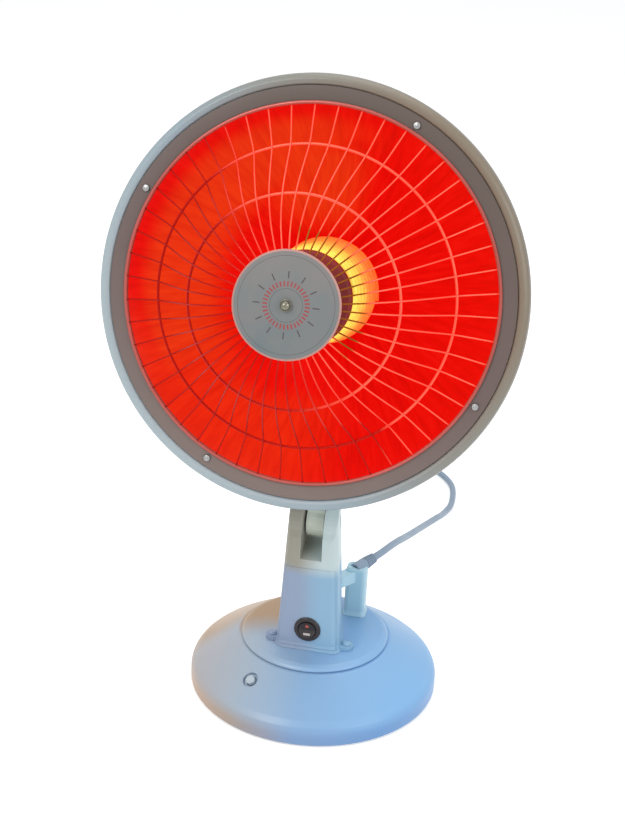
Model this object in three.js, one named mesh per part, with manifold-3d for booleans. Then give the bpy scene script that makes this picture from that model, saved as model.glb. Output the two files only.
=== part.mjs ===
// Parabolic heater: a dish reflector with a glowing ceramic element behind a domed wire guard, on a
// tilting arm, a clevis neck and a swinging turntable over a weighted round base.
// Millimetres, +Z up. The heater faces -Y and stands on the plane Z = 0.

import * as THREE from 'three';
import { mergeVertices } from 'three/addons/utils/BufferGeometryUtils.js';
import ManifoldModule from 'manifold-3d';

const solids = await ManifoldModule();
solids.setup();

// ---------------------------------------------------------------- driving dimensions

// Clearances
const SEAT = 0.3; // between pieces that touch or press on each other
const RUN = 0.8; // between pieces that move past each other
const BORE = 0.4; // round a shank or shaft in its hole
const CUT_TOLERANCE = 0.01; // how far a joined or cut surface may be tidied

// Base
const BASE_RADIUS = 118;
const BASE_WALL = 2.6;
const SKIRT_BOTTOM = 2;
const SKIRT_TOP = 18;
const BASE_TOP = 48.5;
const DOME_FLAT_RADIUS = 73;
const HUB_RADIUS = 15;
const HUB_DEPTH = 8.8;
const PLATE_THICKNESS = 2;
const PLATE_BOTTOM = 3;
const FOOT_RADIUS = 8;
const FOOT_INSET = 26; // from the base's edge to the feet's middles
const BASE_SCREW_INSET = 11;
const BASE_SCREW_COUNT = 3;
const BOSS_RADIUS = 4.5;
const SCREW_RADIUS = 1.2;
const WEIGHT_INSET = 19;
const WEIGHT_MOTOR_GAP = 6.5;
const WEIGHT_HEIGHT = 10;

// Swing drive
const MOTOR_RADIUS = 24.5;
const MOTOR_HEIGHT = 17;
const MOTOR_OFFSET = 35;
const CRANK_THROW = 17.5;
const CRANK_THICKNESS = 3;
const CRANK_PIN_RADIUS = 2.4;
const CRANK_PIN_CLEARANCE = 0.5; // under the slotted lever
const SHAFT_RADIUS = 3;
const SHAFT_LENGTH = 7;
const LEVER_THICKNESS = 2.5;
const LEVER_WIDTH = 15;

// Swing switch button and tip-over switch
const BUTTON_AZIMUTH = THREE.MathUtils.degToRad(-119.3);
const BUTTON_INSET = 28;
const BUTTON_RISE = 19.8; // above the top of the skirt
const BUTTON_LEAN = THREE.MathUtils.degToRad(33);
const BUTTON_RADIUS = 4.4;
const RECESS_RADIUS = 7.5;
const RECESS_DEPTH = 3.4;
const RECESS_WALL = 2;
const TIP_SWITCH_OFFSET = 46;
const PLUNGER_RADIUS = 3.6;

// Turntable and pivot tube
const TURNTABLE_RADIUS = 70;
const TURNTABLE_THICKNESS = 5.2;
const PIVOT_RADIUS = 9;
const PIVOT_BORE = 6.5;
const PIVOT_FLANGE = 10.8;
const WASHER_RADIUS = 14.4;
const WASHER_THICKNESS = 1.2;
const NUT_RADIUS = 12;
const NUT_HEIGHT = 3.6;

// Neck
const NECK_FRONT = -40;
const NECK_BACK = 14;
const NECK_FOOT_WIDTH = 61;
const NECK_TOP_WIDTH = 45;
const NECK_DRAW_IN = 12; // how much narrower the neck is at its back
const NECK_WALL = 2.6;
const NECK_CORNER = 7;
const NECK_FLARE = 2;
const NECK_PARTING = -3;
const PIVOT_HEIGHT = 180;
const CLEVIS_RADIUS = 25;
const SLOT_WIDTH = 20;
const SLOT_DEPTH = 32; // below the tilt pivot, at the front
const SLOT_FLOOR_RISE = 9;
const PANEL_TOP_GAP = 7; // from the panel's top to the slot's floor
const PANEL_MARGIN = 2.5; // from the panel's sides to the neck's
const PANEL_THICKNESS = 2.2;
const EAR_RADIUS = 6.5;
const EAR_HEIGHT = 4;
const EAR_REACH = 35.5;
const EAR_Y = -27;
const EAR_OVERLAP = 10; // how far the ears' webs run into the neck

// Rocker switch
const ROCKER_HEIGHT = 77;
const BEZEL_RADIUS = 12.6;
const BEZEL_DEPTH = 1.8;
const SWITCH_BODY_RADIUS = 9.8;
const SWITCH_BODY_DEPTH = 17;
const ROCKER_RADIUS = 8.6;
const ROCKER_BREAK = THREE.MathUtils.degToRad(9);

// Rear cord post, beside and behind the neck
const POST_X = 31;
const POST_Y = 40;
const POST_WIDTH = 20;
const POST_DEPTH = 17;
const POST_TOP = 106;
const POST_CORNER = 4;
const BRIDGE_HEIGHT = 11;
const BRIDGE_WIDTH = 11;
const GLAND_WALL = 2.6;
const GLAND_SEATED = 6.5;
const GLAND_REACH = 20;

// Tilt pivot
const BOLT_RADIUS = 3;
const BOLT_HEAD_RADIUS = 6.4;
const BOLT_HEAD_HEIGHT = 4;
const BOLT_RECESS = 6; // into the neck's cheeks
const TILT_NUT_HEIGHT = 4.6;
const FRICTION_DISC_RADIUS = 12;
const FRICTION_DISC_THICKNESS = 1.4;
const EYE_RADIUS = 16;

// Head: its own axis runs through the dish and out of the front; h is the height along that axis
// above the face of the rim.
const TILT = THREE.MathUtils.degToRad(14.9);
const ARM_DROP = 217; // pivot below the dish axis
const ARM_BACK = 149.3; // pivot behind the face of the rim
const ARM_PLATE_LOW = 81;
const ARM_PLATE_HIGH = 47;
const ARM_PLATE_WIDTH = 40;
const ARM_PLATE_THICKNESS = 4;
const ARM_SCREW_RADIUS = 1.8;
const ARM_SCREW_SPACING = 27;
const POCKET_DEPTH = 2.2; // in each side of the arm's stem
const CASING_RADIUS = 178;
const CASING_WALL = 1.6;
const CASING_BACK = 106;
const CASING_BACK_RADIUS = 86;
const RIM_WIDTH = 10;
const FLANGE_WIDTH = 14.4;
const DISH_DEPTH = 94;
const DISH_MOUTH_HEIGHT = -4.2;
const DISH_WALL = 1;
const DISH_HOLE = 26.5;
const FLANGE_THICKNESS = 1.4;
const RIM_SCREW_COUNT = 4;
const RIM_SCREW_RADIUS = 1.3;
const RIM_SCREW_LENGTH = 11;
const LUG_RADIUS = 4.6;
const RIM_SCREW_TURN = THREE.MathUtils.degToRad(-27);

// Guard
const WIRE_COUNT = 50;
const WIRE_RADIUS = 0.9;
const RING_WIRE_RADIUS = 1.2;
const WELD_DEPTH = 0.6;
const OUTER_HOOP_INSET = 30.6; // from the dish's mouth
const OUTER_HOOP_HEIGHT = 18.5;
const INNER_HOOP_INSET = 68.6;
const INNER_HOOP_HEIGHT = 66;
const HUB_PLATE_RADIUS = 42.5;
const HUB_FACE = 90;
const HUB_BACK_RADIUS = 40;

// Heating element
const CORE_BACK_RADIUS = 41;
const CORE_FRONT_RADIUS = 33.6;
const CORE_BACK = -80;
const CORE_FRONT = 15;
const CORE_HEAD_RADIUS = 38.7;
const CORE_HEAD_HEIGHT = 9;
const COIL_WIRE_RADIUS = 2.3;
const COIL_TURNS = 8;
const ELEMENT_CAP_RADIUS = 17.5;
const SOCKET_RADIUS = 23.5;

// Rear cap
const CAP_RADIUS = 43;
const CAP_DEPTH = 32;
const CAP_WALL = 2;
const CAP_VENTS = 6;

// Power cord
const CORD_RADIUS = 3.5;
const CORD_COIL_RADIUS = 50;
const CORD_COIL_X = -15;
const CORD_COIL_Y = 448;
const CORD_TURNS_IN = 1.75;
const CORD_TURN_PITCH = 8.8;
const CORD_LAYER_PITCH = 7.8;
const TAIL_LENGTH = 34;
const PLUG_LENGTH = 38;
const PLUG_RADIUS = 11;
const PLUG_FLATTEN = 0.62;
const PLUG_WIDEN = 1.32;
const PIN_RADIUS = 2.4;
const PIN_SPACING = 19;
const PIN_LENGTH = 19;
const PIN_SEATED = 6;

// ---------------------------------------------------------------- materials

function finish(color, roughness, metalness = 0) {
  return new THREE.MeshStandardMaterial({ color, roughness, metalness });
}

const WHITE_PLASTIC = finish(0xdfe7ec, 0.38);
const PALE_PAINT = finish(0xd5e0e4, 0.32);
const GREY_METAL = finish(0x8b8684, 0.42, 0.6);
const RED_GLOW_METAL = finish(0xf01c08, 0.2, 0.7);
const CHROME = finish(0xe8d8d4, 0.12, 1);
const STEEL = finish(0xa9abad, 0.35, 0.9);
const CERAMIC = finish(0x8c1a12, 0.7);
const GLOWING_WIRE = finish(0xffb030, 0.5);
const BLACK_PLASTIC = finish(0x1a1a1c, 0.4);
const GREY_PLASTIC = finish(0x6f7478, 0.5);
const RUBBER = finish(0x2a2a2c, 0.85);
const CAST_IRON = finish(0x3c3d3f, 0.8, 0.5);
const BRASS = finish(0xb9974a, 0.35, 0.9);
const CORD_PLASTIC = finish(0xa9bccb, 0.5);

// ---------------------------------------------------------------- shape helpers

function circle(radius, steps) {
  return Array.from({ length: steps }, (_, k) => {
    const turn = (k / steps) * 2 * Math.PI;
    return new THREE.Vector2(radius * Math.cos(turn), radius * Math.sin(turn));
  });
}

// One closed mesh with shared corners, no flat triangles and its faces pointing out.
function weld(geometry) {
  const bare = new THREE.BufferGeometry();
  bare.setAttribute('position', geometry.getAttribute('position').clone());
  if (geometry.index) {
    bare.setIndex(geometry.index.clone());
  }
  const merged = mergeVertices(bare, 1e-4);
  const index = merged.index.array;
  const position = merged.getAttribute('position');
  const kept = [];
  const [a, b, c] = [new THREE.Vector3(), new THREE.Vector3(), new THREE.Vector3()];
  let volume = 0;
  for (let k = 0; k < index.length; k += 3) {
    const [i, j, l] = [index[k], index[k + 1], index[k + 2]];
    if (i === j || j === l || l === i) {
      continue;
    }
    kept.push(i, j, l);
    a.fromBufferAttribute(position, i);
    b.fromBufferAttribute(position, j);
    c.fromBufferAttribute(position, l);
    volume += a.dot(b.cross(c));
  }
  merged.setIndex(volume < 0 ? kept.reverse() : kept);
  return merged;
}

function toSolid(geometry) {
  const shape = weld(geometry);
  return new solids.Manifold(
    new solids.Mesh({
      numProp: 3,
      vertProperties: new Float32Array(shape.getAttribute('position').array),
      triVerts: new Uint32Array(shape.index.array),
    }),
  );
}

function toGeometry(solid) {
  const mesh = solid.getMesh();
  const geometry = new THREE.BufferGeometry();
  geometry.setAttribute('position', new THREE.BufferAttribute(mesh.vertProperties, 3));
  geometry.setIndex(new THREE.BufferAttribute(mesh.triVerts, 1));
  return geometry;
}

function combine(operation, first, others) {
  const result = others.reduce((sum, next) => sum[operation](toSolid(next)), toSolid(first));
  return toGeometry(result.asOriginal().simplify(CUT_TOLERANCE));
}

const join = (first, ...others) => combine('add', first, others);
const cut = (first, ...others) => combine('subtract', first, others);
const common = (first, ...others) => combine('intersect', first, others);

// A closed outline of [radius, height] points turned about the Z axis.
function revolve(outline, segments = 24) {
  const points = [...outline, outline[0]].map(([radius, height]) => new THREE.Vector2(radius, height));
  return weld(new THREE.LatheGeometry(points, segments).rotateX(Math.PI / 2));
}

function disc(radius, low, high, segments = 20) {
  return revolve([[0, low], [radius, low], [radius, high], [0, high]], segments);
}

function ring(inner, outer, low, high, segments = 20) {
  return revolve([[inner, low], [outer, low], [outer, high], [inner, high]], segments);
}

function box(width, depth, height, x, y, z) {
  return new THREE.BoxGeometry(width, depth, height).translate(x, y, z);
}

// Points of an arc about a centre, from one angle to the other, in degrees.
function arc(centreX, centreY, radius, from, to, steps) {
  return Array.from({ length: steps + 1 }, (_, k) => {
    const turn = THREE.MathUtils.degToRad(from + ((to - from) * k) / steps);
    return [centreX + radius * Math.cos(turn), centreY + radius * Math.sin(turn)];
  });
}

// A skin over rings of points, all of one count and convex, closed by a fan at each end.
function skin(rings) {
  const count = rings[0].length;
  const corners = rings.flat().flatMap((point) => [point.x, point.y, point.z]);
  const faces = [];
  for (let k = 0; k + 1 < rings.length; k += 1) {
    for (let i = 0; i < count; i += 1) {
      const [a, b] = [k * count + i, k * count + ((i + 1) % count)];
      faces.push(a, b, b + count, a, b + count, a + count);
    }
  }
  const last = (rings.length - 1) * count;
  for (let i = 1; i + 1 < count; i += 1) {
    faces.push(0, i + 1, i, last, last + i, last + i + 1);
  }
  const geometry = new THREE.BufferGeometry();
  geometry.setAttribute('position', new THREE.Float32BufferAttribute(corners, 3));
  geometry.setIndex(faces);
  return weld(geometry);
}

// A round tube of few sides along points, its section carried on without twist.
function roundTube(points, radius, sides) {
  const directions = points.map((point, k) => {
    const before = points[Math.max(k - 1, 0)];
    const after = points[Math.min(k + 1, points.length - 1)];
    return after.clone().sub(before).normalize();
  });
  let side = new THREE.Vector3(0, 0, 1).cross(directions[0]).normalize();
  return skin(
    points.map((point, k) => {
      side = side.clone().addScaledVector(directions[k], -side.dot(directions[k])).normalize();
      const up = directions[k].clone().cross(side);
      return circle(radius, sides).map((corner) =>
        point.clone().addScaledVector(side, corner.x).addScaledVector(up, corner.y),
      );
    }),
  );
}

// The least gap between a round tube and itself, more than a bend's length apart along it.
function leastSelfGap(points, radius) {
  const apart = 4 * radius;
  const lengths = [0];
  points.slice(1).forEach((point, k) => lengths.push(lengths[k] + point.distanceTo(points[k])));
  let least = Infinity;
  points.forEach((point, k) => {
    for (let i = k + 1; i < points.length; i += 1) {
      if (lengths[i] - lengths[k] > apart) {
        least = Math.min(least, point.distanceTo(points[i]) - 2 * radius);
      }
    }
  });
  return least;
}

// A level outline with rounded corners, whose sides may draw in towards the back.
function roundedOutline(frontWidth, backWidth, front, back, corner, z) {
  const steps = 3;
  const [frontX, backX] = [frontWidth / 2 - corner, backWidth / 2 - corner];
  const lean = THREE.MathUtils.radToDeg(Math.atan2(frontX - backX, back - front - 2 * corner));
  const corners = [
    [backX, back - corner, lean, 90],
    [-backX, back - corner, 90, 180 - lean],
    [-frontX, front + corner, 180 - lean, 270],
    [frontX, front + corner, 270, 360 + lean],
  ];
  return corners.flatMap(([x, y, from, to]) =>
    arc(x, y, corner, from, to, steps).map(([px, py]) => new THREE.Vector3(px, py, z)),
  );
}

function outlineShape(points) {
  return new THREE.Shape(points.map(([x, y]) => new THREE.Vector2(x, y)));
}

// A shape in the Y-Z plane, given thickness along X about the middle plane.
function sideExtrusion(shape, width, curveSegments = 10) {
  return new THREE.ExtrudeGeometry(shape, { depth: width, bevelEnabled: false, curveSegments })
    .translate(0, 0, -width / 2)
    .applyMatrix4(new THREE.Matrix4().makeBasis(
      new THREE.Vector3(0, 1, 0),
      new THREE.Vector3(0, 0, 1),
      new THREE.Vector3(1, 0, 0),
    ));
}

function around(count, turn, make) {
  return Array.from({ length: count }, (_, k) => make(turn + (k / count) * 2 * Math.PI, k));
}

function piece(name, geometry, material) {
  const mesh = new THREE.Mesh(weld(geometry), material);
  mesh.name = name;
  return mesh;
}

// ---------------------------------------------------------------- base

function domeOutline() {
  const inner = BASE_RADIUS - BASE_WALL;
  const ceiling = BASE_TOP - BASE_WALL;
  return [
    [inner, SKIRT_BOTTOM],
    [BASE_RADIUS, SKIRT_BOTTOM],
    [BASE_RADIUS, SKIRT_TOP - 3],
    [BASE_RADIUS - 2, SKIRT_TOP + 1.5],
    [BASE_RADIUS - 7, SKIRT_TOP + 6],
    [BASE_RADIUS - 24, SKIRT_TOP + 17],
    [DOME_FLAT_RADIUS, BASE_TOP],
    [0, BASE_TOP],
    [0, ceiling],
    [DOME_FLAT_RADIUS, ceiling],
    [BASE_RADIUS - 25, SKIRT_TOP + 14],
    [inner - 6, SKIRT_TOP + 3],
    [inner, SKIRT_TOP - 3],
  ];
}

// Moves a geometry built about the Z axis to the swing button's axis on the shoulder of the dome.
function onButtonAxis(geometry) {
  return geometry
    .rotateY(BUTTON_LEAN)
    .translate(BASE_RADIUS - BUTTON_INSET, 0, SKIRT_TOP + BUTTON_RISE)
    .rotateZ(BUTTON_AZIMUTH);
}

const plateTop = PLATE_BOTTOM + PLATE_THICKNESS;
const recessFloor = -RECESS_DEPTH - RECESS_WALL; // under the button's recess, along its axis

function baseScrewPlaces() {
  const circleRadius = BASE_RADIUS - BASE_SCREW_INSET;
  return around(BASE_SCREW_COUNT, 0, (turn) => [
    circleRadius * Math.cos(turn),
    circleRadius * Math.sin(turn),
  ]);
}

function baseHousing() {
  const shell = revolve(domeOutline(), 32);
  const hub = disc(HUB_RADIUS, BASE_TOP - HUB_DEPTH, BASE_TOP - 1, 16);
  const bosses = baseScrewPlaces().map(([x, y]) =>
    disc(BOSS_RADIUS, plateTop + SEAT, SKIRT_TOP + 4.5, 8).translate(x, y, 0),
  );
  const cup = onButtonAxis(disc(RECESS_RADIUS + RECESS_WALL, recessFloor, -1.2, 16));
  const pilots = baseScrewPlaces().map(([x, y]) =>
    disc(SCREW_RADIUS + BORE, 0, plateTop + 12, 6).translate(x, y, 0),
  );
  const bore = disc(PIVOT_RADIUS + BORE, 0, BASE_TOP + 5);
  const recess = onButtonAxis(disc(RECESS_RADIUS, -RECESS_DEPTH, 8, 16));
  const buttonHole = onButtonAxis(disc(BUTTON_RADIUS + BORE, -12, 8, 12));
  return cut(join(shell, hub, ...bosses, cup), bore, recess, buttonHole, ...pilots);
}

function plateWithHoles(outline, holes, thickness, low) {
  const shape = new THREE.Shape(outline);
  shape.holes = holes.map(([x, y, radius]) =>
    new THREE.Path(circle(radius, 10).map((point) => point.add(new THREE.Vector2(x, y)))));
  return new THREE.ExtrudeGeometry(shape, { depth: thickness, bevelEnabled: false }).translate(0, 0, low);
}

function basePlate() {
  const holes = [
    ...baseScrewPlaces().map(([x, y]) => [x, y, SCREW_RADIUS + 2 * BORE]),
    [0, -TIP_SWITCH_OFFSET, PLUNGER_RADIUS + BORE],
  ];
  const rim = circle(BASE_RADIUS - BASE_WALL - RUN, 32);
  return plateWithHoles(rim, holes, PLATE_THICKNESS, PLATE_BOTTOM);
}

function foot() {
  const top = PLATE_BOTTOM - SEAT;
  return revolve([[0, 0], [FOOT_RADIUS - 1, 0], [FOOT_RADIUS, 1], [FOOT_RADIUS, top], [0, top]], 12);
}

function baseScrew() {
  const top = PLATE_BOTTOM - SEAT;
  const outline = [
    [0, 1.1],
    [2.6, 1.1],
    [3.4, 1.8],
    [3.4, top],
    [SCREW_RADIUS, top],
    [SCREW_RADIUS, plateTop + 10],
    [0, plateTop + 10],
  ];
  return revolve(outline, 8);
}

function counterweight() {
  const low = plateTop + SEAT;
  const high = low + WEIGHT_HEIGHT;
  const inner = MOTOR_OFFSET + MOTOR_RADIUS + WEIGHT_MOTOR_GAP;
  const outer = BASE_RADIUS - WEIGHT_INSET;
  return revolve([
    [inner, low],
    [outer, low],
    [outer, high - 1.5],
    [outer - 1.5, high],
    [inner, high],
  ]);
}

const motorTop = plateTop + SEAT + MOTOR_HEIGHT;
const crankLow = motorTop + 4;
const crankTop = crankLow + CRANK_THICKNESS;

function swingMotor() {
  const low = plateTop + SEAT;
  const can = revolve([
    [0, low],
    [MOTOR_RADIUS, low],
    [MOTOR_RADIUS, motorTop - 1.5],
    [MOTOR_RADIUS - 1.5, motorTop],
    [6, motorTop],
    [6, motorTop + 2],
    [0, motorTop + 2],
  ], 20);
  const ears = box(2 * MOTOR_RADIUS + 12, 10, 1.6, 0, 0, low + 0.8);
  const shaftBore = disc(SHAFT_RADIUS + BORE, motorTop - SHAFT_LENGTH - 1, motorTop + 4, 12);
  const earHoles = [-1, 1].map((side) =>
    disc(1.7, 0, low + 4, 8).translate(side * (MOTOR_RADIUS + 3), 0, 0),
  );
  return cut(join(can, ears), shaftBore, ...earHoles).translate(0, MOTOR_OFFSET, 0);
}

function swingCrank() {
  const rim = CRANK_THROW + CRANK_PIN_RADIUS + 2.2;
  const wheel = revolve([
    [0, motorTop - SHAFT_LENGTH],
    [SHAFT_RADIUS, motorTop - SHAFT_LENGTH],
    [SHAFT_RADIUS, crankLow],
    [rim, crankLow],
    [rim, crankTop],
    [0, crankTop],
  ]);
  const pin = disc(CRANK_PIN_RADIUS, crankLow + 1, leverLow - CRANK_PIN_CLEARANCE, 12)
    .translate(0, CRANK_THROW, 0);
  return join(wheel, pin).translate(0, MOTOR_OFFSET, 0);
}

function swingSwitch() {
  const top = recessFloor - SEAT;
  const shell = box(13, 13, 9, 0, 0, top - 7.5);
  const collar = disc(BUTTON_RADIUS + RECESS_WALL, top - 4, top, 12);
  const socket = disc(BUTTON_RADIUS + BORE, -14, 0, 12);
  return onButtonAxis(cut(join(shell, collar), socket));
}

function swingButton() {
  return onButtonAxis(revolve([
    [0, -9],
    [BUTTON_RADIUS, -9],
    [BUTTON_RADIUS, 1],
    [BUTTON_RADIUS - 1, 2],
    [0, 2.4],
  ], 14));
}

function tipSwitch() {
  const low = plateTop + SEAT;
  const body = box(14, 22, 16, 0, 0, low + 8);
  const guide = disc(PLUNGER_RADIUS + BORE, low - 2, low + 13, 12);
  return cut(body, guide).translate(0, -TIP_SWITCH_OFFSET, 0);
}

function tipPlunger() {
  return revolve([
    [0, 0],
    [PLUNGER_RADIUS - 0.8, 0],
    [PLUNGER_RADIUS, 0.8],
    [PLUNGER_RADIUS, plateTop + 11],
    [0, plateTop + 11],
  ], 12).translate(0, -TIP_SWITCH_OFFSET, 0);
}

function buildBase() {
  const group = new THREE.Group();
  group.add(
    piece('base_housing', baseHousing(), WHITE_PLASTIC),
    piece('base_plate', basePlate(), STEEL),
    piece('counterweight', counterweight(), CAST_IRON),
    piece('swing_motor', swingMotor(), STEEL),
    piece('swing_crank', swingCrank(), BLACK_PLASTIC),
    piece('swing_switch', swingSwitch(), BLACK_PLASTIC),
    piece('swing_button', swingButton(), WHITE_PLASTIC),
    piece('tip_switch', tipSwitch(), BLACK_PLASTIC),
    piece('tip_plunger', tipPlunger(), GREY_PLASTIC),
  );
  const footCircle = BASE_RADIUS - FOOT_INSET;
  around(4, Math.PI / 4, (turn, k) => {
    const mesh = piece(`foot_${k + 1}`, foot(), RUBBER);
    mesh.position.set(footCircle * Math.cos(turn), footCircle * Math.sin(turn), 0);
    group.add(mesh);
  });
  baseScrewPlaces().forEach(([x, y], k) => {
    const mesh = piece(`base_screw_${k + 1}`, baseScrew(), STEEL);
    mesh.position.set(x, y, 0);
    group.add(mesh);
  });
  return group;
}

// ---------------------------------------------------------------- turntable and pivot

const turntableLow = BASE_TOP + RUN;
const turntableTop = turntableLow + TURNTABLE_THICKNESS;
const hubLow = BASE_TOP - HUB_DEPTH;
const washerLow = hubLow - SEAT - WASHER_THICKNESS;
const leverLow = washerLow - SEAT - LEVER_THICKNESS;
const nutLow = leverLow - SEAT - NUT_HEIGHT;

function turntable() {
  return revolve([
    [PIVOT_RADIUS + SEAT, turntableLow],
    [TURNTABLE_RADIUS, turntableLow],
    [TURNTABLE_RADIUS, turntableTop - 2],
    [TURNTABLE_RADIUS - 2.6, turntableTop],
    [PIVOT_RADIUS + SEAT, turntableTop],
  ], 32);
}

function pivotTube() {
  const flangeLow = turntableTop + SEAT;
  return revolve([
    [PIVOT_BORE, nutLow - 2],
    [PIVOT_RADIUS, nutLow - 2],
    [PIVOT_RADIUS, flangeLow],
    [PIVOT_FLANGE, flangeLow],
    [PIVOT_FLANGE, flangeLow + 2],
    [PIVOT_BORE, flangeLow + 2],
  ], 18);
}

function swingLever() {
  const half = LEVER_WIDTH / 2;
  const end = MOTOR_OFFSET + CRANK_THROW + 2;
  const eye = PIVOT_RADIUS + 3.5;
  const shoulder = THREE.MathUtils.radToDeg(Math.asin(half / eye));
  const outline = [
    ...arc(0, 0, eye, 90 + shoulder, 450 - shoulder, 12),
    ...arc(0, end, half, 0, 180, 6),
  ];
  const slotHalf = CRANK_PIN_RADIUS + 0.5;
  const slotLow = MOTOR_OFFSET - CRANK_THROW - 1;
  const slot = [...arc(0, slotLow, slotHalf, 180, 360, 4), ...arc(0, end, slotHalf, 0, 180, 4)];
  const shape = outlineShape(outline);
  shape.holes = [new THREE.Path(slot.map(([x, y]) => new THREE.Vector2(x, y)))];
  const lever = new THREE.ExtrudeGeometry(shape, { depth: LEVER_THICKNESS, bevelEnabled: false });
  return cut(lever.translate(0, 0, leverLow), disc(PIVOT_RADIUS + SEAT, leverLow - 1, leverLow + 5, 18));
}

function pivotWasher() {
  return ring(PIVOT_RADIUS + SEAT, WASHER_RADIUS, washerLow, washerLow + WASHER_THICKNESS, 18);
}

function pivotNut() {
  const blank = disc(NUT_RADIUS, nutLow, nutLow + NUT_HEIGHT, 6);
  return cut(blank, disc(PIVOT_RADIUS + SEAT, nutLow - 1, nutLow + NUT_HEIGHT + 1, 18));
}

// ---------------------------------------------------------------- neck

const neckLow = turntableTop + SEAT;
const neckTop = PIVOT_HEIGHT + CLEVIS_RADIUS;
const pivotY = (NECK_FRONT + NECK_BACK) / 2;
const slotFloor = PIVOT_HEIGHT - SLOT_DEPTH;
const panelTop = slotFloor - PANEL_TOP_GAP;
const boltSeat = neckWidth(PIVOT_HEIGHT) / 2 - NECK_DRAW_IN / 4 - BOLT_RECESS;

// The neck's width at a height, narrowing steadily to the top.
function neckWidth(z) {
  const share = (z - neckLow) / (neckTop - neckLow);
  return NECK_FOOT_WIDTH + (NECK_TOP_WIDTH - NECK_FOOT_WIDTH) * share;
}

function neckSection(z, inset, flare = 0) {
  const width = neckWidth(z) - 2 * inset + 2 * flare;
  return roundedOutline(
    width,
    width - NECK_DRAW_IN,
    NECK_FRONT + inset - flare,
    NECK_BACK - inset + flare,
    NECK_CORNER - inset + flare,
    z,
  );
}

// The neck's outer form: flared at the foot, rounded over the tilt pivot in side view.
function neckForm() {
  const body = skin([
    neckSection(neckLow, 0, NECK_FLARE),
    neckSection(neckLow + 2, 0, NECK_FLARE / 2),
    neckSection(neckLow + 6, 0),
    neckSection(neckTop, 0),
  ]);
  const side = new THREE.Shape();
  const reach = (NECK_BACK - NECK_FRONT) / 2 + NECK_FLARE + 1;
  side.moveTo(pivotY - reach, neckLow - 1);
  side.lineTo(pivotY + reach, neckLow - 1);
  side.lineTo(pivotY + reach, PIVOT_HEIGHT - CLEVIS_RADIUS);
  side.lineTo(NECK_BACK, PIVOT_HEIGHT - 8);
  side.absarc(pivotY, PIVOT_HEIGHT, CLEVIS_RADIUS, THREE.MathUtils.degToRad(-4), Math.PI * 1.022);
  side.lineTo(NECK_FRONT, PIVOT_HEIGHT - 8);
  side.lineTo(pivotY - reach, PIVOT_HEIGHT - CLEVIS_RADIUS);
  return common(body, sideExtrusion(side, NECK_FOOT_WIDTH + 20));
}

function neckHollow() {
  return skin([
    neckSection(neckLow - 1, NECK_WALL),
    neckSection(slotFloor - 5, NECK_WALL),
  ]);
}

// The clevis slot, open to the top, front and back, over a floor that rises to the back.
function clevisSlot() {
  const side = outlineShape([
    [NECK_FRONT - 10, slotFloor],
    [pivotY + 6, slotFloor + SLOT_FLOOR_RISE],
    [NECK_BACK + 10, slotFloor + SLOT_FLOOR_RISE],
    [NECK_BACK + 10, neckTop + 5],
    [NECK_FRONT - 10, neckTop + 5],
  ]);
  return sideExtrusion(side, SLOT_WIDTH);
}

function alongX(geometry, y, z) {
  return geometry.rotateY(Math.PI / 2).translate(0, y, z);
}

// The tilt bolt's bore, with a recess in each cheek that takes the bolt's head and its nut.
function boltBore() {
  const bore = disc(BOLT_RADIUS + BORE, -60, 60, 12);
  const recesses = [[-60, -boltSeat], [boltSeat, 60]].map(([low, high]) =>
    disc(BOLT_HEAD_RADIUS + BORE, low, high, 12));
  return alongX(join(bore, ...recesses), pivotY, PIVOT_HEIGHT);
}

// The panel's outline, tapered like the neck, through the neck's front to the panel's back.
function panelBlock(clearance) {
  const low = neckLow + 3 - clearance;
  const high = panelTop + clearance;
  const depth = PANEL_THICKNESS + clearance + 5;
  const half = (z) => neckWidth(z) / 2 - PANEL_MARGIN + clearance;
  const outline = [[-half(low), low], [half(low), low], [half(high), high], [-half(high), high]];
  const block = new THREE.ExtrudeGeometry(outlineShape(outline), { depth, bevelEnabled: false });
  return block.rotateX(Math.PI / 2).translate(0, NECK_FRONT - 5 + depth, 0);
}

function alongY(geometry, x, z) {
  return geometry.rotateX(Math.PI / 2).translate(x, 0, z);
}

function switchBore(radius) {
  return alongY(disc(radius, -NECK_FRONT - 30, -NECK_FRONT + 10), 0, ROCKER_HEIGHT);
}

// Screw ears at the foot of the neck, one on each side.
function ears() {
  return [-1, 1].map((side) => {
    const round = disc(EAR_RADIUS, neckLow, neckLow + EAR_HEIGHT, 16).translate(side * EAR_REACH, EAR_Y, 0);
    const inner = neckWidth(neckLow) / 2 - EAR_OVERLAP;
    const width = EAR_REACH - inner;
    const middle = side * (inner + width / 2);
    const web = box(width, 2 * EAR_RADIUS, EAR_HEIGHT, middle, EAR_Y, neckLow + EAR_HEIGHT / 2);
    return join(round, web);
  });
}

function earHoles() {
  return [-1, 1].map((side) => disc(2.4, neckLow - 1, neckLow + EAR_HEIGHT + 1, 12)
    .translate(side * EAR_REACH, EAR_Y, 0));
}

function frontHalf() {
  const depth = NECK_PARTING - NECK_FRONT + 20;
  return box(140, depth, neckTop, 0, NECK_PARTING - depth / 2, neckTop / 2 + neckLow - 2);
}

function neckFront() {
  const half = common(neckForm(), frontHalf());
  const front = NECK_FRONT + NECK_WALL + PANEL_THICKNESS;
  const hollow = common(neckHollow(), box(140, 200, 2 * neckTop, 0, front + 100, neckTop));
  const whole = join(half, ...ears());
  return cut(
    whole,
    hollow,
    clevisSlot(),
    panelBlock(SEAT),
    switchBore(SWITCH_BODY_RADIUS + BORE),
    boltBore(),
    ...earHoles(),
  );
}

function neckPanel() {
  const plate = common(neckForm(), panelBlock(0));
  return cut(plate, switchBore(SWITCH_BODY_RADIUS + BORE));
}

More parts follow.
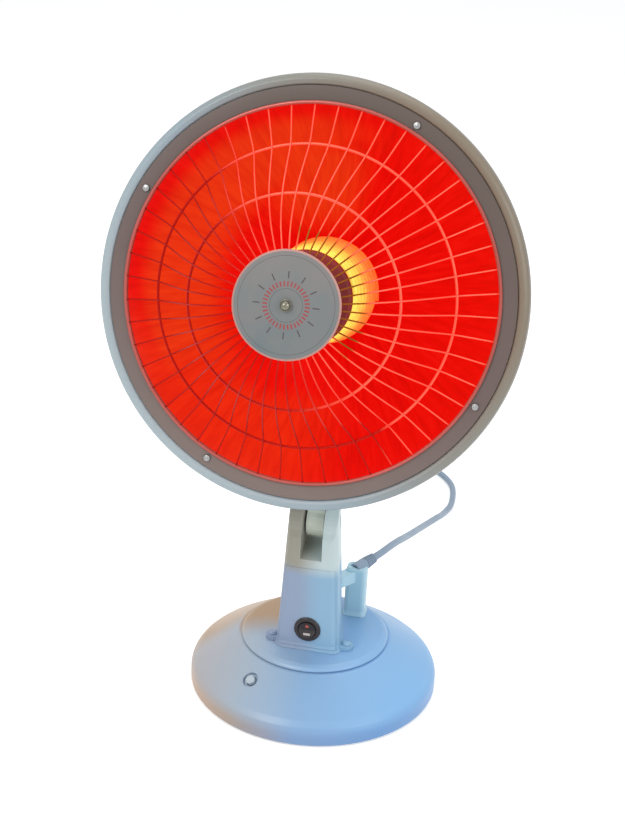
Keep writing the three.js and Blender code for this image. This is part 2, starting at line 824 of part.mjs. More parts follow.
function cordPost() {
  const section = (z, shrink) => roundedOutline(
    POST_WIDTH - shrink,
    POST_WIDTH - shrink,
    POST_Y - POST_DEPTH / 2 + shrink / 2,
    POST_Y + POST_DEPTH / 2 - shrink / 2,
    POST_CORNER,
    z,
  ).map((point) => point.setX(point.x + POST_X));
  return skin([
    section(neckLow, -3),
    section(neckLow + 4, 0),
    section(POST_TOP - 2, 0),
    section(POST_TOP, 3),
  ]);
}

// The short bar that ties the top of the cord post to the back of the neck.
function bridge() {
  const start = new THREE.Vector2(10, NECK_BACK - 2.4);
  const end = new THREE.Vector2(POST_X - 3, POST_Y - 3);
  const length = start.distanceTo(end);
  const turn = Math.atan2(end.y - start.y, end.x - start.x);
  return new THREE.BoxGeometry(length, BRIDGE_WIDTH, BRIDGE_HEIGHT)
    .rotateZ(turn)
    .translate((start.x + end.x) / 2, (start.y + end.y) / 2, POST_TOP - 3 - BRIDGE_HEIGHT / 2);
}

// The gland snaps into a groove across the top of the post, open above by less than its width.
const glandDirection = new THREE.Vector3(0.5, 0.8, 0.12).normalize();
const glandSeat = new THREE.Vector3(POST_X + 2, POST_Y + 2, POST_TOP - 2);
const glandRadius = CORD_RADIUS + GLAND_WALL;

// Moves a geometry built about the Z axis to the cord's way out of the post.
function onCordExit(geometry) {
  const turn = new THREE.Quaternion().setFromUnitVectors(new THREE.Vector3(0, 0, 1), glandDirection);
  return geometry.applyQuaternion(turn).translate(glandSeat.x, glandSeat.y, glandSeat.z);
}

function neckRear() {
  const parting = NECK_PARTING + SEAT;
  const half = common(neckForm(), box(140, 100, 400, 0, parting + 50, 150));
  const cover = cut(half, neckHollow());
  const glandBore = onCordExit(disc(glandRadius + BORE, -GLAND_SEATED - SEAT, 30, 12));
  const wireWayTop = glandSeat.z - glandRadius + 2;
  const wireWay = box(9, 9, wireWayTop - neckLow + 1, POST_X, POST_Y, (wireWayTop + neckLow - 1) / 2);
  return cut(join(cover, cordPost(), bridge()), glandBore, wireWay, clevisSlot(), boltBore());
}

function cordGland() {
  const sleeve = revolve([
    [CORD_RADIUS + SEAT, -GLAND_SEATED],
    [glandRadius, -GLAND_SEATED],
    [glandRadius, GLAND_SEATED],
    [CORD_RADIUS + GLAND_WALL / 2, GLAND_REACH],
    [CORD_RADIUS + SEAT, GLAND_REACH],
  ], 14);
  return onCordExit(sleeve);
}

function earScrew() {
  const seat = neckLow + EAR_HEIGHT + SEAT;
  return revolve([
    [0, turntableTop + SEAT],
    [2, turntableTop + SEAT],
    [2, seat],
    [4.2, seat],
    [4.2, seat + 1],
    [2.6, seat + 2.2],
    [0, seat + 2.4],
  ], 8);
}

// ---------------------------------------------------------------- rocker switch

function switchBody() {
  const front = NECK_FRONT;
  const outline = [
    [ROCKER_RADIUS + BORE, -front + BEZEL_DEPTH],
    [ROCKER_RADIUS + BORE, -front - 7],
    [0, -front - 7],
    [0, -front - SWITCH_BODY_DEPTH],
    [SWITCH_BODY_RADIUS, -front - SWITCH_BODY_DEPTH],
    [SWITCH_BODY_RADIUS, -front + SEAT],
    [BEZEL_RADIUS, -front + SEAT],
    [BEZEL_RADIUS, -front + BEZEL_DEPTH - 0.8],
    [BEZEL_RADIUS - 0.8, -front + BEZEL_DEPTH],
  ];
  return alongY(revolve(outline, 20), 0, ROCKER_HEIGHT);
}

// The round rocker: two faces that meet in a shallow valley, on an axis across the switch.
function rocker() {
  const half = ROCKER_RADIUS - 0.4;
  const face = BEZEL_DEPTH;
  const rise = half * Math.tan(ROCKER_BREAK);
  const side = outlineShape([
    [-face - rise - 0.2, half + 2],
    [-face, 0],
    [-face - rise - 0.2, -half - 2],
    [1.4, -half - 2],
    [2.6, 0],
    [1.4, half + 2],
  ]);
  const wedge = sideExtrusion(side, 2 * ROCKER_RADIUS + 4);
  const round = disc(half, -6, 8).rotateX(Math.PI / 2);
  return common(wedge, round).translate(0, NECK_FRONT, ROCKER_HEIGHT);
}

// ---------------------------------------------------------------- tilt pivot

function tiltBolt() {
  const headLow = boltSeat + SEAT;
  const end = headLow + TILT_NUT_HEIGHT + 0.6;
  const outline = [
    [0, -headLow - BOLT_HEAD_HEIGHT],
    [BOLT_HEAD_RADIUS - 1.2, -headLow - BOLT_HEAD_HEIGHT],
    [BOLT_HEAD_RADIUS, -headLow - BOLT_HEAD_HEIGHT + 1.2],
    [BOLT_HEAD_RADIUS, -headLow],
    [BOLT_RADIUS, -headLow],
    [BOLT_RADIUS, end],
    [0, end],
  ];
  return alongX(revolve(outline, 12), pivotY, PIVOT_HEIGHT);
}

function tiltNut() {
  const low = boltSeat + SEAT;
  const shape = new THREE.Shape(circle(BOLT_HEAD_RADIUS - 0.2, 6));
  shape.holes = [new THREE.Path().absarc(0, 0, BOLT_RADIUS + SEAT, 0, 2 * Math.PI)];
  const settings = { depth: TILT_NUT_HEIGHT, bevelEnabled: false, curveSegments: 8 };
  return alongX(new THREE.ExtrudeGeometry(shape, settings).translate(0, 0, low), pivotY, PIVOT_HEIGHT);
}

function frictionDisc(side) {
  const high = SLOT_WIDTH / 2 - SEAT;
  const pad = ring(BOLT_RADIUS + SEAT, FRICTION_DISC_RADIUS, high - FRICTION_DISC_THICKNESS, high, 14);
  return alongX(side < 0 ? pad.rotateX(Math.PI) : pad, pivotY, PIVOT_HEIGHT);
}

// ---------------------------------------------------------------- swinging group

function buildSwing() {
  const group = new THREE.Group();
  group.add(
    piece('turntable', turntable(), WHITE_PLASTIC),
    piece('pivot_tube', pivotTube(), STEEL),
    piece('swing_lever', swingLever(), STEEL),
    piece('pivot_washer', pivotWasher(), STEEL),
    piece('pivot_nut', pivotNut(), STEEL),
    piece('neck_front', neckFront(), WHITE_PLASTIC),
    piece('neck_rear', neckRear(), WHITE_PLASTIC),
    piece('neck_panel', neckPanel(), WHITE_PLASTIC),
    piece('switch_body', switchBody(), BLACK_PLASTIC),
    piece('rocker', rocker(), BLACK_PLASTIC),
    piece('cord_gland', cordGland(), CORD_PLASTIC),
    piece('tilt_bolt', tiltBolt(), STEEL),
    piece('tilt_nut', tiltNut(), STEEL),
  );
  [-1, 1].forEach((side, k) => {
    const screw = piece(`neck_screw_${k + 1}`, earScrew(), STEEL);
    screw.position.set(side * EAR_REACH, EAR_Y, 0);
    group.add(
      screw,
      piece(`friction_disc_${k + 1}`, frictionDisc(side), GREY_PLASTIC),
    );
  });
  return group;
}

// ---------------------------------------------------------------- head shell

// In the head's own frame +Z is the dish axis, out of the front, +Y is up the dish and +X across it.

const seamRadius = CASING_RADIUS - RIM_WIDTH;
const mouthRadius = seamRadius - FLANGE_WIDTH;

function casing() {
  const shell = revolve([
    [SOCKET_RADIUS + RUN, -CASING_BACK],
    [CASING_BACK_RADIUS, -CASING_BACK],
    [CASING_RADIUS - 66, -90],
    [CASING_RADIUS - 42, -69],
    [CASING_RADIUS - 20, -42],
    [CASING_RADIUS - 7, -21],
    [CASING_RADIUS - 1.4, -14],
    [CASING_RADIUS, -7],
    [CASING_RADIUS - 1.2, -1.2],
    [seamRadius + 5, 2],
    [seamRadius + 1, 0.4],
    [seamRadius + SEAT, -FLANGE_THICKNESS - SEAT],
    [seamRadius - 4, -FLANGE_THICKNESS - SEAT],
    [seamRadius - 4, -FLANGE_THICKNESS - SEAT - CASING_WALL],
    [CASING_RADIUS - 3.6, -FLANGE_THICKNESS - SEAT - CASING_WALL - 1],
    [CASING_RADIUS - 3.2, -13.4],
    [CASING_RADIUS - 8.6, -20],
    [CASING_RADIUS - 21.6, -41],
    [CASING_RADIUS - 43.2, -67.8],
    [CASING_RADIUS - 66.8, -88.6],
    [CASING_BACK_RADIUS - 0.4, -CASING_BACK + CASING_WALL],
    [SOCKET_RADIUS + RUN, -CASING_BACK + CASING_WALL],
  ], 32);
  const lugs = rimScrewPlaces().map(([x, y]) =>
    disc(LUG_RADIUS, -RIM_SCREW_LENGTH - 3, -FLANGE_THICKNESS - SEAT, 8).translate(x, y, 0));
  const pilots = rimScrewPlaces().map(([x, y]) =>
    disc(RIM_SCREW_RADIUS + SEAT, -RIM_SCREW_LENGTH - 1, 4, 6).translate(x, y, 0));
  const armHoles = armScrewPlaces().map(([x, y]) =>
    disc(ARM_SCREW_RADIUS + BORE, -CASING_BACK - 3, -CASING_BACK + 8, 8).translate(x, y, 0));
  return cut(join(shell, ...lugs), ...pilots, ...armHoles);
}

function rimScrewPlaces() {
  const circleRadius = (seamRadius + mouthRadius) / 2;
  return around(RIM_SCREW_COUNT, RIM_SCREW_TURN, (turn) => [
    circleRadius * Math.cos(turn),
    circleRadius * Math.sin(turn),
  ]);
}

function armScrewPlaces() {
  const y = -(ARM_PLATE_LOW + ARM_PLATE_HIGH) / 2;
  return [-1, 1].map((side) => [side * ARM_SCREW_SPACING / 2, y]);
}

// Flat grey ring that covers the gap between the dish's mouth and the casing and holds the guard.
function guardFlange() {
  const low = -FLANGE_THICKNESS;
  const plate = revolve([
    [mouthRadius, low - 2.2],
    [mouthRadius + FLANGE_THICKNESS, low - 2.2],
    [mouthRadius + FLANGE_THICKNESS, low],
    [seamRadius, low],
    [seamRadius, 0],
    [mouthRadius, 0],
  ], 32);
  const holes = rimScrewPlaces().map(([x, y]) =>
    disc(RIM_SCREW_RADIUS + 2 * BORE, -5, 5, 8).translate(x, y, 0));
  return cut(plate, ...holes);
}

function dishHeight(radius) {
  return DISH_MOUTH_HEIGHT - DISH_DEPTH * (1 - (radius / mouthRadius) ** 2);
}

function dishPoints(steps, offset) {
  return Array.from({ length: steps + 1 }, (_, k) => {
    const radius = DISH_HOLE + ((mouthRadius - DISH_HOLE) * k) / steps;
    return [radius, dishHeight(radius) + offset];
  });
}

function reflector() {
  const lip = [
    [mouthRadius + 1.8, DISH_MOUTH_HEIGHT],
    [mouthRadius + 1.8, DISH_MOUTH_HEIGHT - DISH_WALL],
  ];
  const back = dishPoints(5, -1.6 * DISH_WALL).reverse().slice(1);
  return revolve([...dishPoints(6, 0), ...lip, ...back], 32);
}

function rimScrew() {
  return revolve([
    [0, -RIM_SCREW_LENGTH],
    [RIM_SCREW_RADIUS, -RIM_SCREW_LENGTH],
    [RIM_SCREW_RADIUS, SEAT],
    [3.4, SEAT],
    [2.8, SEAT + 1.5],
    [0, SEAT + 2.1],
  ], 8);
}

// ---------------------------------------------------------------- guard

// The guard's wires stand up from the rim, swell over the element and run flat to the hub.
const guardLine = [
  [mouthRadius - 0.2, WIRE_RADIUS + 2 * SEAT],
  [mouthRadius - OUTER_HOOP_INSET, OUTER_HOOP_HEIGHT],
  [mouthRadius - INNER_HOOP_INSET, INNER_HOOP_HEIGHT],
  [62, 82],
  [HUB_BACK_RADIUS - 2, HUB_FACE - 2.8],
].map(([radius, height]) => new THREE.Vector3(radius, 0, height));

// A hoop of the guard, welded to the backs of its wires at one of their bends.
function guardHoop(index) {
  const along = guardLine[index + 1].clone().sub(guardLine[index - 1]).normalize();
  const inward = new THREE.Vector3(-along.z, 0, along.x);
  const centre = guardLine[index].clone()
    .addScaledVector(inward, WIRE_RADIUS + RING_WIRE_RADIUS - WELD_DEPTH);
  const corners = [[0.95, 0], [-0.5, 0.87], [-0.5, -0.87]].map(([x, y]) => centre.clone()
    .addScaledVector(inward, -x * RING_WIRE_RADIUS)
    .addScaledVector(along, y * RING_WIRE_RADIUS));
  return revolve(corners.map(({ x, z }) => [x, z]), WIRE_COUNT).rotateZ(Math.PI / WIRE_COUNT);
}

function guard() {
  const wire = roundTube(guardLine, WIRE_RADIUS, 3);
  const wires = around(WIRE_COUNT, 0, (turn) => wire.clone().rotateZ(turn));
  const hoops = [1, 2].map(guardHoop);
  return join(...hoops, ...wires);
}

function hubPlate() {
  return revolve([
    [0, HUB_FACE - 0.4],
    [HUB_PLATE_RADIUS - 2, HUB_FACE - 0.9],
    [HUB_PLATE_RADIUS - 1.2, HUB_FACE - 1.6],
    [HUB_PLATE_RADIUS, HUB_FACE - 1.4],
    [HUB_PLATE_RADIUS, HUB_FACE - 0.2],
    [HUB_PLATE_RADIUS - 1.4, HUB_FACE + 0.6],
    [0, HUB_FACE + 1],
  ], 28);
}

// The plate behind the guard's middle, with the threaded stud that draws the hub plate on.
function hubClamp() {
  const high = HUB_FACE - 2.9 - RING_WIRE_RADIUS - SEAT;
  return revolve([
    [0, high - 3.4],
    [4.6, high - 3.4],
    [4.6, high - 1.2],
    [HUB_BACK_RADIUS, high - 1.2],
    [HUB_BACK_RADIUS, high],
    [2.2, high],
    [2.2, HUB_FACE - 0.9],
    [0, HUB_FACE - 0.9],
  ], 16);
}

function hubNut() {
  const low = HUB_FACE + 1 + SEAT;
  const skirt = [[0, low], [4.8, low], [4.8, low + 1.6]];
  return revolve([...skirt, ...arc(0, low + 1.6, 4.2, 0, 90, 4)], 12);
}

// ---------------------------------------------------------------- heating element

// The coil's outer turns follow the tapered ceramic.
function coilPoints() {
  const steps = 20;
  const count = COIL_TURNS * steps;
  const low = CORE_BACK + 6;
  const high = CORE_FRONT - 5;
  const wound = Array.from({ length: count + 1 }, (_, k) => {
    const turn = (k / steps) * 2 * Math.PI;
    const height = low + ((high - low) * k) / count;
    const radius = coreRadius(height) + SEAT + 0.3 + COIL_WIRE_RADIUS;
    return new THREE.Vector3(radius * Math.cos(turn), radius * Math.sin(turn), height);
  });
  const run = 2 * COIL_WIRE_RADIUS;
  const first = wound[0].clone().sub(wound[1]).setLength(run).add(wound[0]);
  const last = wound[count].clone().sub(wound[count - 1]).setLength(run).add(wound[count]);
  return [first, ...wound, last];
}

function coreRadius(height) {
  const share = (height - CORE_BACK) / (CORE_FRONT - CORE_BACK);
  return CORE_BACK_RADIUS + (CORE_FRONT_RADIUS - CORE_BACK_RADIUS) * share;
}

function heatingCoil() {
  return roundTube(coilPoints(), COIL_WIRE_RADIUS, 6);
}

const elementBack = CORE_BACK - 3;

function elementCore() {
  const head = CORE_FRONT + CORE_HEAD_HEIGHT;
  return revolve([
    [0, elementBack],
    [CORE_BACK_RADIUS - 4, elementBack],
    [CORE_BACK_RADIUS, CORE_BACK],
    [CORE_FRONT_RADIUS, CORE_FRONT],
    [CORE_HEAD_RADIUS - 1, CORE_FRONT],
    [CORE_HEAD_RADIUS, CORE_FRONT + 1],
    [CORE_HEAD_RADIUS, head - 2],
    [CORE_HEAD_RADIUS - 2, head],
    [14, head],
    [12, head - 3],
    [0, head - 3],
  ]);
}

function elementCap() {
  const top = elementBack - SEAT;
  const outline = [[0, top - 22], [6, top - 22], [8, top - 20]];
  const threads = Array.from({ length: 3 }, (_, k) => [
    [ELEMENT_CAP_RADIUS - 1.2, top - 19 + k * 5.4],
    [ELEMENT_CAP_RADIUS, top - 16.3 + k * 5.4],
  ]).flat();
  return revolve([...outline, ...threads, [ELEMENT_CAP_RADIUS, top], [0, top]], 16);
}

function elementSocket() {
  const mouth = elementBack - 6;
  const floor = elementBack - 26;
  const back = -CASING_BACK - 26;
  const bore = ELEMENT_CAP_RADIUS + SEAT + 0.3;
  const body = revolve([
    [bore, mouth],
    [bore, floor],
    [0, floor],
    [0, back],
    [SOCKET_RADIUS - 3, back],
    [SOCKET_RADIUS, back + 3],
    [SOCKET_RADIUS, mouth],
  ], 18);
  const lugs = box(2 * CAP_RADIUS - 14, 12, 4, 0, 0, -CASING_BACK - SEAT - 2);
  const hollow = disc(bore, floor, mouth + 2, 18);
  return join(body, cut(lugs, hollow));
}

// ---------------------------------------------------------------- rear pieces of the head

const backFace = -CASING_BACK - SEAT;

function rearCap() {
  const low = backFace - CAP_DEPTH;
  const shell = revolve([
    [0, low],
    [CAP_RADIUS - 8, low + 1.6],
    [CAP_RADIUS - 1.5, low + 8],
    [CAP_RADIUS, backFace],
    [CAP_RADIUS - CAP_WALL, backFace],
    [CAP_RADIUS - CAP_WALL - 1.5, low + 9],
    [CAP_RADIUS - 10, low + 1.6 + CAP_WALL],
    [0, low + CAP_WALL],
  ]);
  const vents = around(CAP_VENTS, Math.PI / CAP_VENTS, (turn) =>
    box(15, 3, 12, 22, 0, low).rotateZ(turn));
  return cut(shell, ...vents);
}

function thermalCutout() {
  const can = disc(5.6, backFace - 7, backFace, 14);
  const lug = box(3.4, 1.2, 6, 0, 0, backFace - 9);
  return join(can, lug).translate(0, SOCKET_RADIUS + 9, 0);
}

function terminalBlock() {
  const block = box(22, 8, 10, 0, 0, backFace - 5);
  const wireHoles = [-1, 1].map((side) =>
    disc(1.8, -10, 10, 10).rotateX(Math.PI / 2).translate(side * 5.6, 0, backFace - 6));
  return cut(block, ...wireHoles).translate(0, -SOCKET_RADIUS - 8, 0);
}

// The arm that carries the head: an eye in the clevis, a tapering stem with hollowed sides and a
// plate screwed to the flat of the casing's back.
function tiltArm() {
  const plateFace = backFace;
  const plateBack = plateFace - ARM_PLATE_THICKNESS;
  const [eyeY, eyeZ] = [-ARM_DROP, -ARM_BACK];
  const width = SLOT_WIDTH - 2 * FRICTION_DISC_THICKNESS - 4 * SEAT;
  const bendY = eyeY + 67;
  const footY = -ARM_PLATE_LOW - 29;
  const rootY = -ARM_PLATE_LOW + 3;
  const start = [eyeY + EYE_RADIUS * Math.cos(Math.PI / 3), eyeZ + EYE_RADIUS * Math.sin(Math.PI / 3)];
  const shape = new THREE.Shape();
  shape.moveTo(...start);
  shape.absarc(eyeY, eyeZ, EYE_RADIUS, Math.PI / 3, (5 / 3) * Math.PI);
  shape.bezierCurveTo(bendY, eyeZ - 6, footY + 10, plateBack - 31.7, -ARM_PLATE_HIGH - 6, plateBack + 1);
  shape.lineTo(rootY, plateBack + 1);
  shape.bezierCurveTo(footY, plateBack - 13.7, bendY, eyeZ + 12, ...start);
  const stem = sideExtrusion(shape, width, 8);
  const plateHeight = ARM_PLATE_LOW - ARM_PLATE_HIGH;
  const middle = -(ARM_PLATE_LOW + ARM_PLATE_HIGH) / 2;
  const plateMiddle = (plateFace + plateBack) / 2;
  const plate = box(ARM_PLATE_WIDTH, plateHeight, ARM_PLATE_THICKNESS, 0, middle, plateMiddle);
  const pocket = new THREE.Shape();
  pocket.moveTo(eyeY + 27, eyeZ - 2);
  pocket.bezierCurveTo(bendY, eyeZ - 2, footY, plateBack - 27.7, rootY, plateBack - 7.7);
  pocket.bezierCurveTo(footY, plateBack - 18.7, bendY, eyeZ + 8, eyeY + 27, eyeZ + 5);
  pocket.closePath();
  const pockets = [-1, 1].map((side) =>
    sideExtrusion(pocket, 2 * POCKET_DEPTH, 5).translate(side * width / 2, 0, 0));
  const bore = alongX(disc(BOLT_RADIUS + 2 * SEAT, -20, 20, 12), eyeY, eyeZ);
  const screwHoles = armScrewPlaces().map(([x, y]) =>
    disc(ARM_SCREW_RADIUS + BORE, plateBack - 3, plateFace + 3, 8).translate(x, y, 0));
  return cut(join(stem, plate), bore, ...pockets, ...screwHoles);
}

function armScrew() {
  const seat = backFace - ARM_PLATE_THICKNESS - SEAT;
  return revolve([
    [0, seat - 2.6],
    [3, seat - 2.6],
    [4, seat - 1.6],
    [4, seat],
    [ARM_SCREW_RADIUS, seat],
    [ARM_SCREW_RADIUS, -CASING_BACK + 4],
    [0, -CASING_BACK + 4],
  ], 8);
}

function buildHead() {
  const group = new THREE.Group();
  group.add(
    piece('rear_casing', casing(), PALE_PAINT),
    piece('guard_flange', guardFlange(), GREY_METAL),
    piece('reflector', reflector(), RED_GLOW_METAL),
    piece('wire_guard', guard(), CHROME),
    piece('hub_plate', hubPlate(), GREY_METAL),
    piece('hub_clamp', hubClamp(), STEEL),
    piece('hub_nut', hubNut(), CHROME),
    piece('element_core', elementCore(), CERAMIC),
    piece('heating_coil', heatingCoil(), GLOWING_WIRE),
    piece('element_cap', elementCap(), BRASS),
    piece('element_socket', elementSocket(), CERAMIC),
    piece('thermal_cutout', thermalCutout(), STEEL),
    piece('terminal_block', terminalBlock(), WHITE_PLASTIC),
    piece('rear_cap', rearCap(), PALE_PAINT),
    piece('tilt_arm', tiltArm(), WHITE_PLASTIC),
  );
  rimScrewPlaces().forEach(([x, y], k) => {
    const mesh = piece(`rim_screw_${k + 1}`, rimScrew(), STEEL);
    mesh.position.set(x, y, 0);
    group.add(mesh);
  });
  armScrewPlaces().forEach(([x, y], k) => {
    const mesh = piece(`arm_screw_${k + 1}`, armScrew(), STEEL);
    mesh.position.set(x, y, 0);
    group.add(mesh);
  });
  // The pivot of the arm's eye comes to the clevis pivot, with the head turned up by the tilt.
  const turn = Math.PI / 2 - TILT;
  const eye = new THREE.Vector3(0, -ARM_DROP, -ARM_BACK).applyAxisAngle(new THREE.Vector3(1, 0, 0), turn);
  group.rotation.x = turn;
  group.position.set(0, pivotY - eye.y, PIVOT_HEIGHT - eye.z);
  return group;
}

// ---------------------------------------------------------------- power cord

const cordStart = glandSeat.clone().addScaledVector(glandDirection, GLAND_REACH + SEAT);
const coilEntry = new THREE.Vector3(CORD_COIL_X, CORD_COIL_Y + CORD_COIL_RADIUS, CORD_RADIUS);

// Points chosen along the cord, from the gland down to the floor and round into the coil.
function cordRoute() {
  return [
    cordStart,
    cordStart.clone().addScaledVector(glandDirection, 8),
    new THREE.Vector3(57, 100, 102.5),
    new THREE.Vector3(63, 160, 81),
    new THREE.Vector3(69, 230, 56),
    new THREE.Vector3(75, 300, 31),
    new THREE.Vector3(80, 352, 13.5),
    new THREE.Vector3(83, 398, CORD_RADIUS + 1.2),
    new THREE.Vector3(75, 448, CORD_RADIUS + 0.3),
    new THREE.Vector3(45, 485, CORD_RADIUS + 0.1),
    new THREE.Vector3(CORD_COIL_X + 18, coilEntry.y, CORD_RADIUS),
    new THREE.Vector3(CORD_COIL_X + 2 * CORD_RADIUS + SEAT, coilEntry.y, CORD_RADIUS),
  ];
}

function powerCord() {
  const path = new THREE.CatmullRomCurve3(cordRoute(), false, 'centripetal');
  const section = new THREE.Shape(circle(CORD_RADIUS, 6));
  return new THREE.ExtrudeGeometry(section, { steps: 28, bevelEnabled: false, extrudePath: path });
}

// Two layers of piled loops: in along the floor, up a layer in the half turn where the spiral
// turns back, and out again on top.
function cordCoilPoints() {
  const steps = 20;
  const total = 2 * CORD_TURNS_IN + 0.5;
  const count = total * steps;
  const loops = Array.from({ length: count + 1 }, (_, k) => {
    const turns = k / steps;
    const climb = THREE.MathUtils.clamp((turns - CORD_TURNS_IN) / 0.5, 0, 1);
    const inward = Math.min(turns, total - turns, CORD_TURNS_IN);
    const radius = CORD_COIL_RADIUS - CORD_TURN_PITCH * inward;
    const angle = Math.PI / 2 + turns * 2 * Math.PI;
    return new THREE.Vector3(
      CORD_COIL_X + radius * Math.cos(angle),
      CORD_COIL_Y + radius * Math.sin(angle),
      CORD_RADIUS + CORD_LAYER_PITCH * climb,
    );
  });
  const straight = new THREE.Vector3(2 * CORD_RADIUS, 0, 0);
  return [loops[0].clone().add(straight), ...loops, loops[count].clone().sub(straight)];
}

function cordCoil() {
  return roundTube(cordCoilPoints(), CORD_RADIUS, 6);
}

const tailHeight = CORD_RADIUS + CORD_LAYER_PITCH;
const tailStart = CORD_COIL_X - 2 * CORD_RADIUS - SEAT;
const plugStart = tailStart - TAIL_LENGTH - SEAT;
const plugHeight = PLUG_FLATTEN * PLUG_RADIUS;

// Moves a geometry built about the Z axis to the plug's axis along the floor.
function onPlugAxis(geometry) {
  return geometry.rotateY(-Math.PI / 2).translate(plugStart, coilEntry.y, plugHeight);
}

function cordTail() {
  const path = new THREE.CatmullRomCurve3([
    new THREE.Vector3(tailStart, coilEntry.y, tailHeight),
    new THREE.Vector3(tailStart - 4, coilEntry.y, tailHeight),
    new THREE.Vector3(tailStart - TAIL_LENGTH / 2, coilEntry.y + 1, (tailHeight + plugHeight) / 2),
    new THREE.Vector3(tailStart - TAIL_LENGTH + 4, coilEntry.y, plugHeight),
    new THREE.Vector3(tailStart - TAIL_LENGTH, coilEntry.y, plugHeight),
  ], false, 'centripetal');
  const section = new THREE.Shape(circle(CORD_RADIUS, 6));
  return new THREE.ExtrudeGeometry(section, { steps: 6, bevelEnabled: false, extrudePath: path });
}

function plugBody() {
  const grip = revolve([
    [0, 0],
    [CORD_RADIUS + 1.5, 0],
    [CORD_RADIUS + 2.5, 8],
    [PLUG_RADIUS - 2, 15],
    [PLUG_RADIUS, 22],
    [PLUG_RADIUS, PLUG_LENGTH - 2],
    [PLUG_RADIUS - 1, PLUG_LENGTH],
    [0, PLUG_LENGTH],
  ], 16).scale(PLUG_FLATTEN, PLUG_WIDEN, 1);
  const pinHole = disc(PIN_RADIUS + SEAT, PLUG_LENGTH - PIN_SEATED, PLUG_LENGTH + 2, 8);
  const pinHoles = [-1, 1].map((side) => pinHole.clone().translate(0, side * PIN_SPACING / 2, 0));
  return onPlugAxis(cut(grip, ...pinHoles));
}

function plugPin(side) {
  const low = PLUG_LENGTH - PIN_SEATED + SEAT;
  const high = PLUG_LENGTH + PIN_LENGTH;
  const outline = [[0, low], [PIN_RADIUS, low], [PIN_RADIUS, high - 1.6], [1, high], [0, high]];
  return onPlugAxis(revolve(outline, 8).translate(0, side * PIN_SPACING / 2, 0));
}

function buildCord() {
  const group = new THREE.Group();
  group.add(
    piece('power_cord', powerCord(), CORD_PLASTIC),
    piece('cord_coil', cordCoil(), CORD_PLASTIC),
    piece('cord_tail', cordTail(), CORD_PLASTIC),
    piece('plug_body', plugBody(), CORD_PLASTIC),
    piece('plug_pin_1', plugPin(-1), BRASS),
    piece('plug_pin_2', plugPin(1), BRASS),
  );
  return group;
}

// ---------------------------------------------------------------- the whole heater

const standing = new THREE.Group();
standing.add(buildBase(), buildSwing(), buildHead());

// The origin lies under the middle of the heater itself, measured without its cord.
standing.updateMatrixWorld(true);
const extent = new THREE.Box3().setFromObject(standing, true);
const middleY = (extent.min.y + extent.max.y) / 2;

const heater = new THREE.Group();
heater.add(standing, buildCord());
heater.position.set(-(extent.min.x + extent.max.x) / 2, -middleY, 0);

console.log(`swing axis at y = ${(-middleY).toFixed(3)} mm`);
console.log(`least gap in the heating coil ${leastSelfGap(coilPoints(), COIL_WIRE_RADIUS).toFixed(2)} mm`);
console.log(`least gap in the cord coil ${leastSelfGap(cordCoilPoints(), CORD_RADIUS).toFixed(2)} mm`);

export default heater;
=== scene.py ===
"""Looks for the parabolic heater: camera, light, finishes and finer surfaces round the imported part."""

import math

import bmesh
import bpy
from mathutils import Matrix, Vector


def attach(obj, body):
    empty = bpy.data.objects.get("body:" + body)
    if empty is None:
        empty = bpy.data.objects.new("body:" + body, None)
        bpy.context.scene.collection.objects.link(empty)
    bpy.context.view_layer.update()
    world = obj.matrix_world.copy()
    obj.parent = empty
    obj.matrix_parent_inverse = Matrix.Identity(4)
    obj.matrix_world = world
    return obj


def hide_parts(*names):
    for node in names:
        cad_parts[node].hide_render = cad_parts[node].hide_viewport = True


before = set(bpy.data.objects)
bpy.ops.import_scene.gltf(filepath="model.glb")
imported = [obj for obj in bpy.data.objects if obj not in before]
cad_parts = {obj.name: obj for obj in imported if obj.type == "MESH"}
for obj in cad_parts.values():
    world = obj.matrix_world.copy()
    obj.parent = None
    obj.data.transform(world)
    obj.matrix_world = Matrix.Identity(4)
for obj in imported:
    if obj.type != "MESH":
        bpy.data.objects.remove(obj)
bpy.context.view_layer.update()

MM = 0.001
AXIS_Y = 40.802  # the swing axis, in millimetres behind the origin

# The head's own frame: +Z out of the front along the dish axis, +Y up the dish.
TILT = math.radians(14.9)
ARM_DROP = 217
ARM_BACK = 149.3
PIVOT_Y = -13
PIVOT_HEIGHT = 180
HEAD_TURN = math.pi / 2 - TILT
head_rotation = Matrix.Rotation(HEAD_TURN, 4, "X")
head_eye = head_rotation @ Vector((0, -ARM_DROP, -ARM_BACK))
head_place = Vector((0, AXIS_Y + PIVOT_Y - head_eye.y, PIVOT_HEIGHT - head_eye.z))
HEAD = Matrix.Translation(head_place) @ head_rotation
BASE = Matrix.Translation((0, AXIS_Y, 0))

# ---------------------------------------------------------------- camera

FOCAL_PX = 1614.1
FRAME_WIDTH = 625
YAW, PITCH, ROLL = (math.radians(a) for a in (-11.0, 24.3, 2.7))


def add_camera():
    forward = Vector((math.sin(YAW) * math.cos(PITCH), math.cos(YAW) * math.cos(PITCH), -math.sin(PITCH)))
    level = Vector((math.cos(YAW), -math.sin(YAW), 0))
    upright = level.cross(forward)
    right = level * math.cos(ROLL) + upright * math.sin(ROLL)
    up = upright * math.cos(ROLL) - level * math.sin(ROLL)
    place = Vector((241.7, -1307.2 + AXIS_Y, 877.4)) * MM
    camera = bpy.data.cameras.new("camera")
    camera.sensor_fit = "HORIZONTAL"
    camera.sensor_width = 36
    camera.lens = FOCAL_PX / FRAME_WIDTH * 36
    holder = bpy.data.objects.new("camera", camera)
    axes = Matrix((right, up, -forward)).transposed().to_4x4()
    holder.matrix_world = Matrix.Translation(place) @ axes
    bpy.context.scene.collection.objects.link(holder)
    bpy.context.scene.camera = holder


add_camera()

# ---------------------------------------------------------------- shape helpers


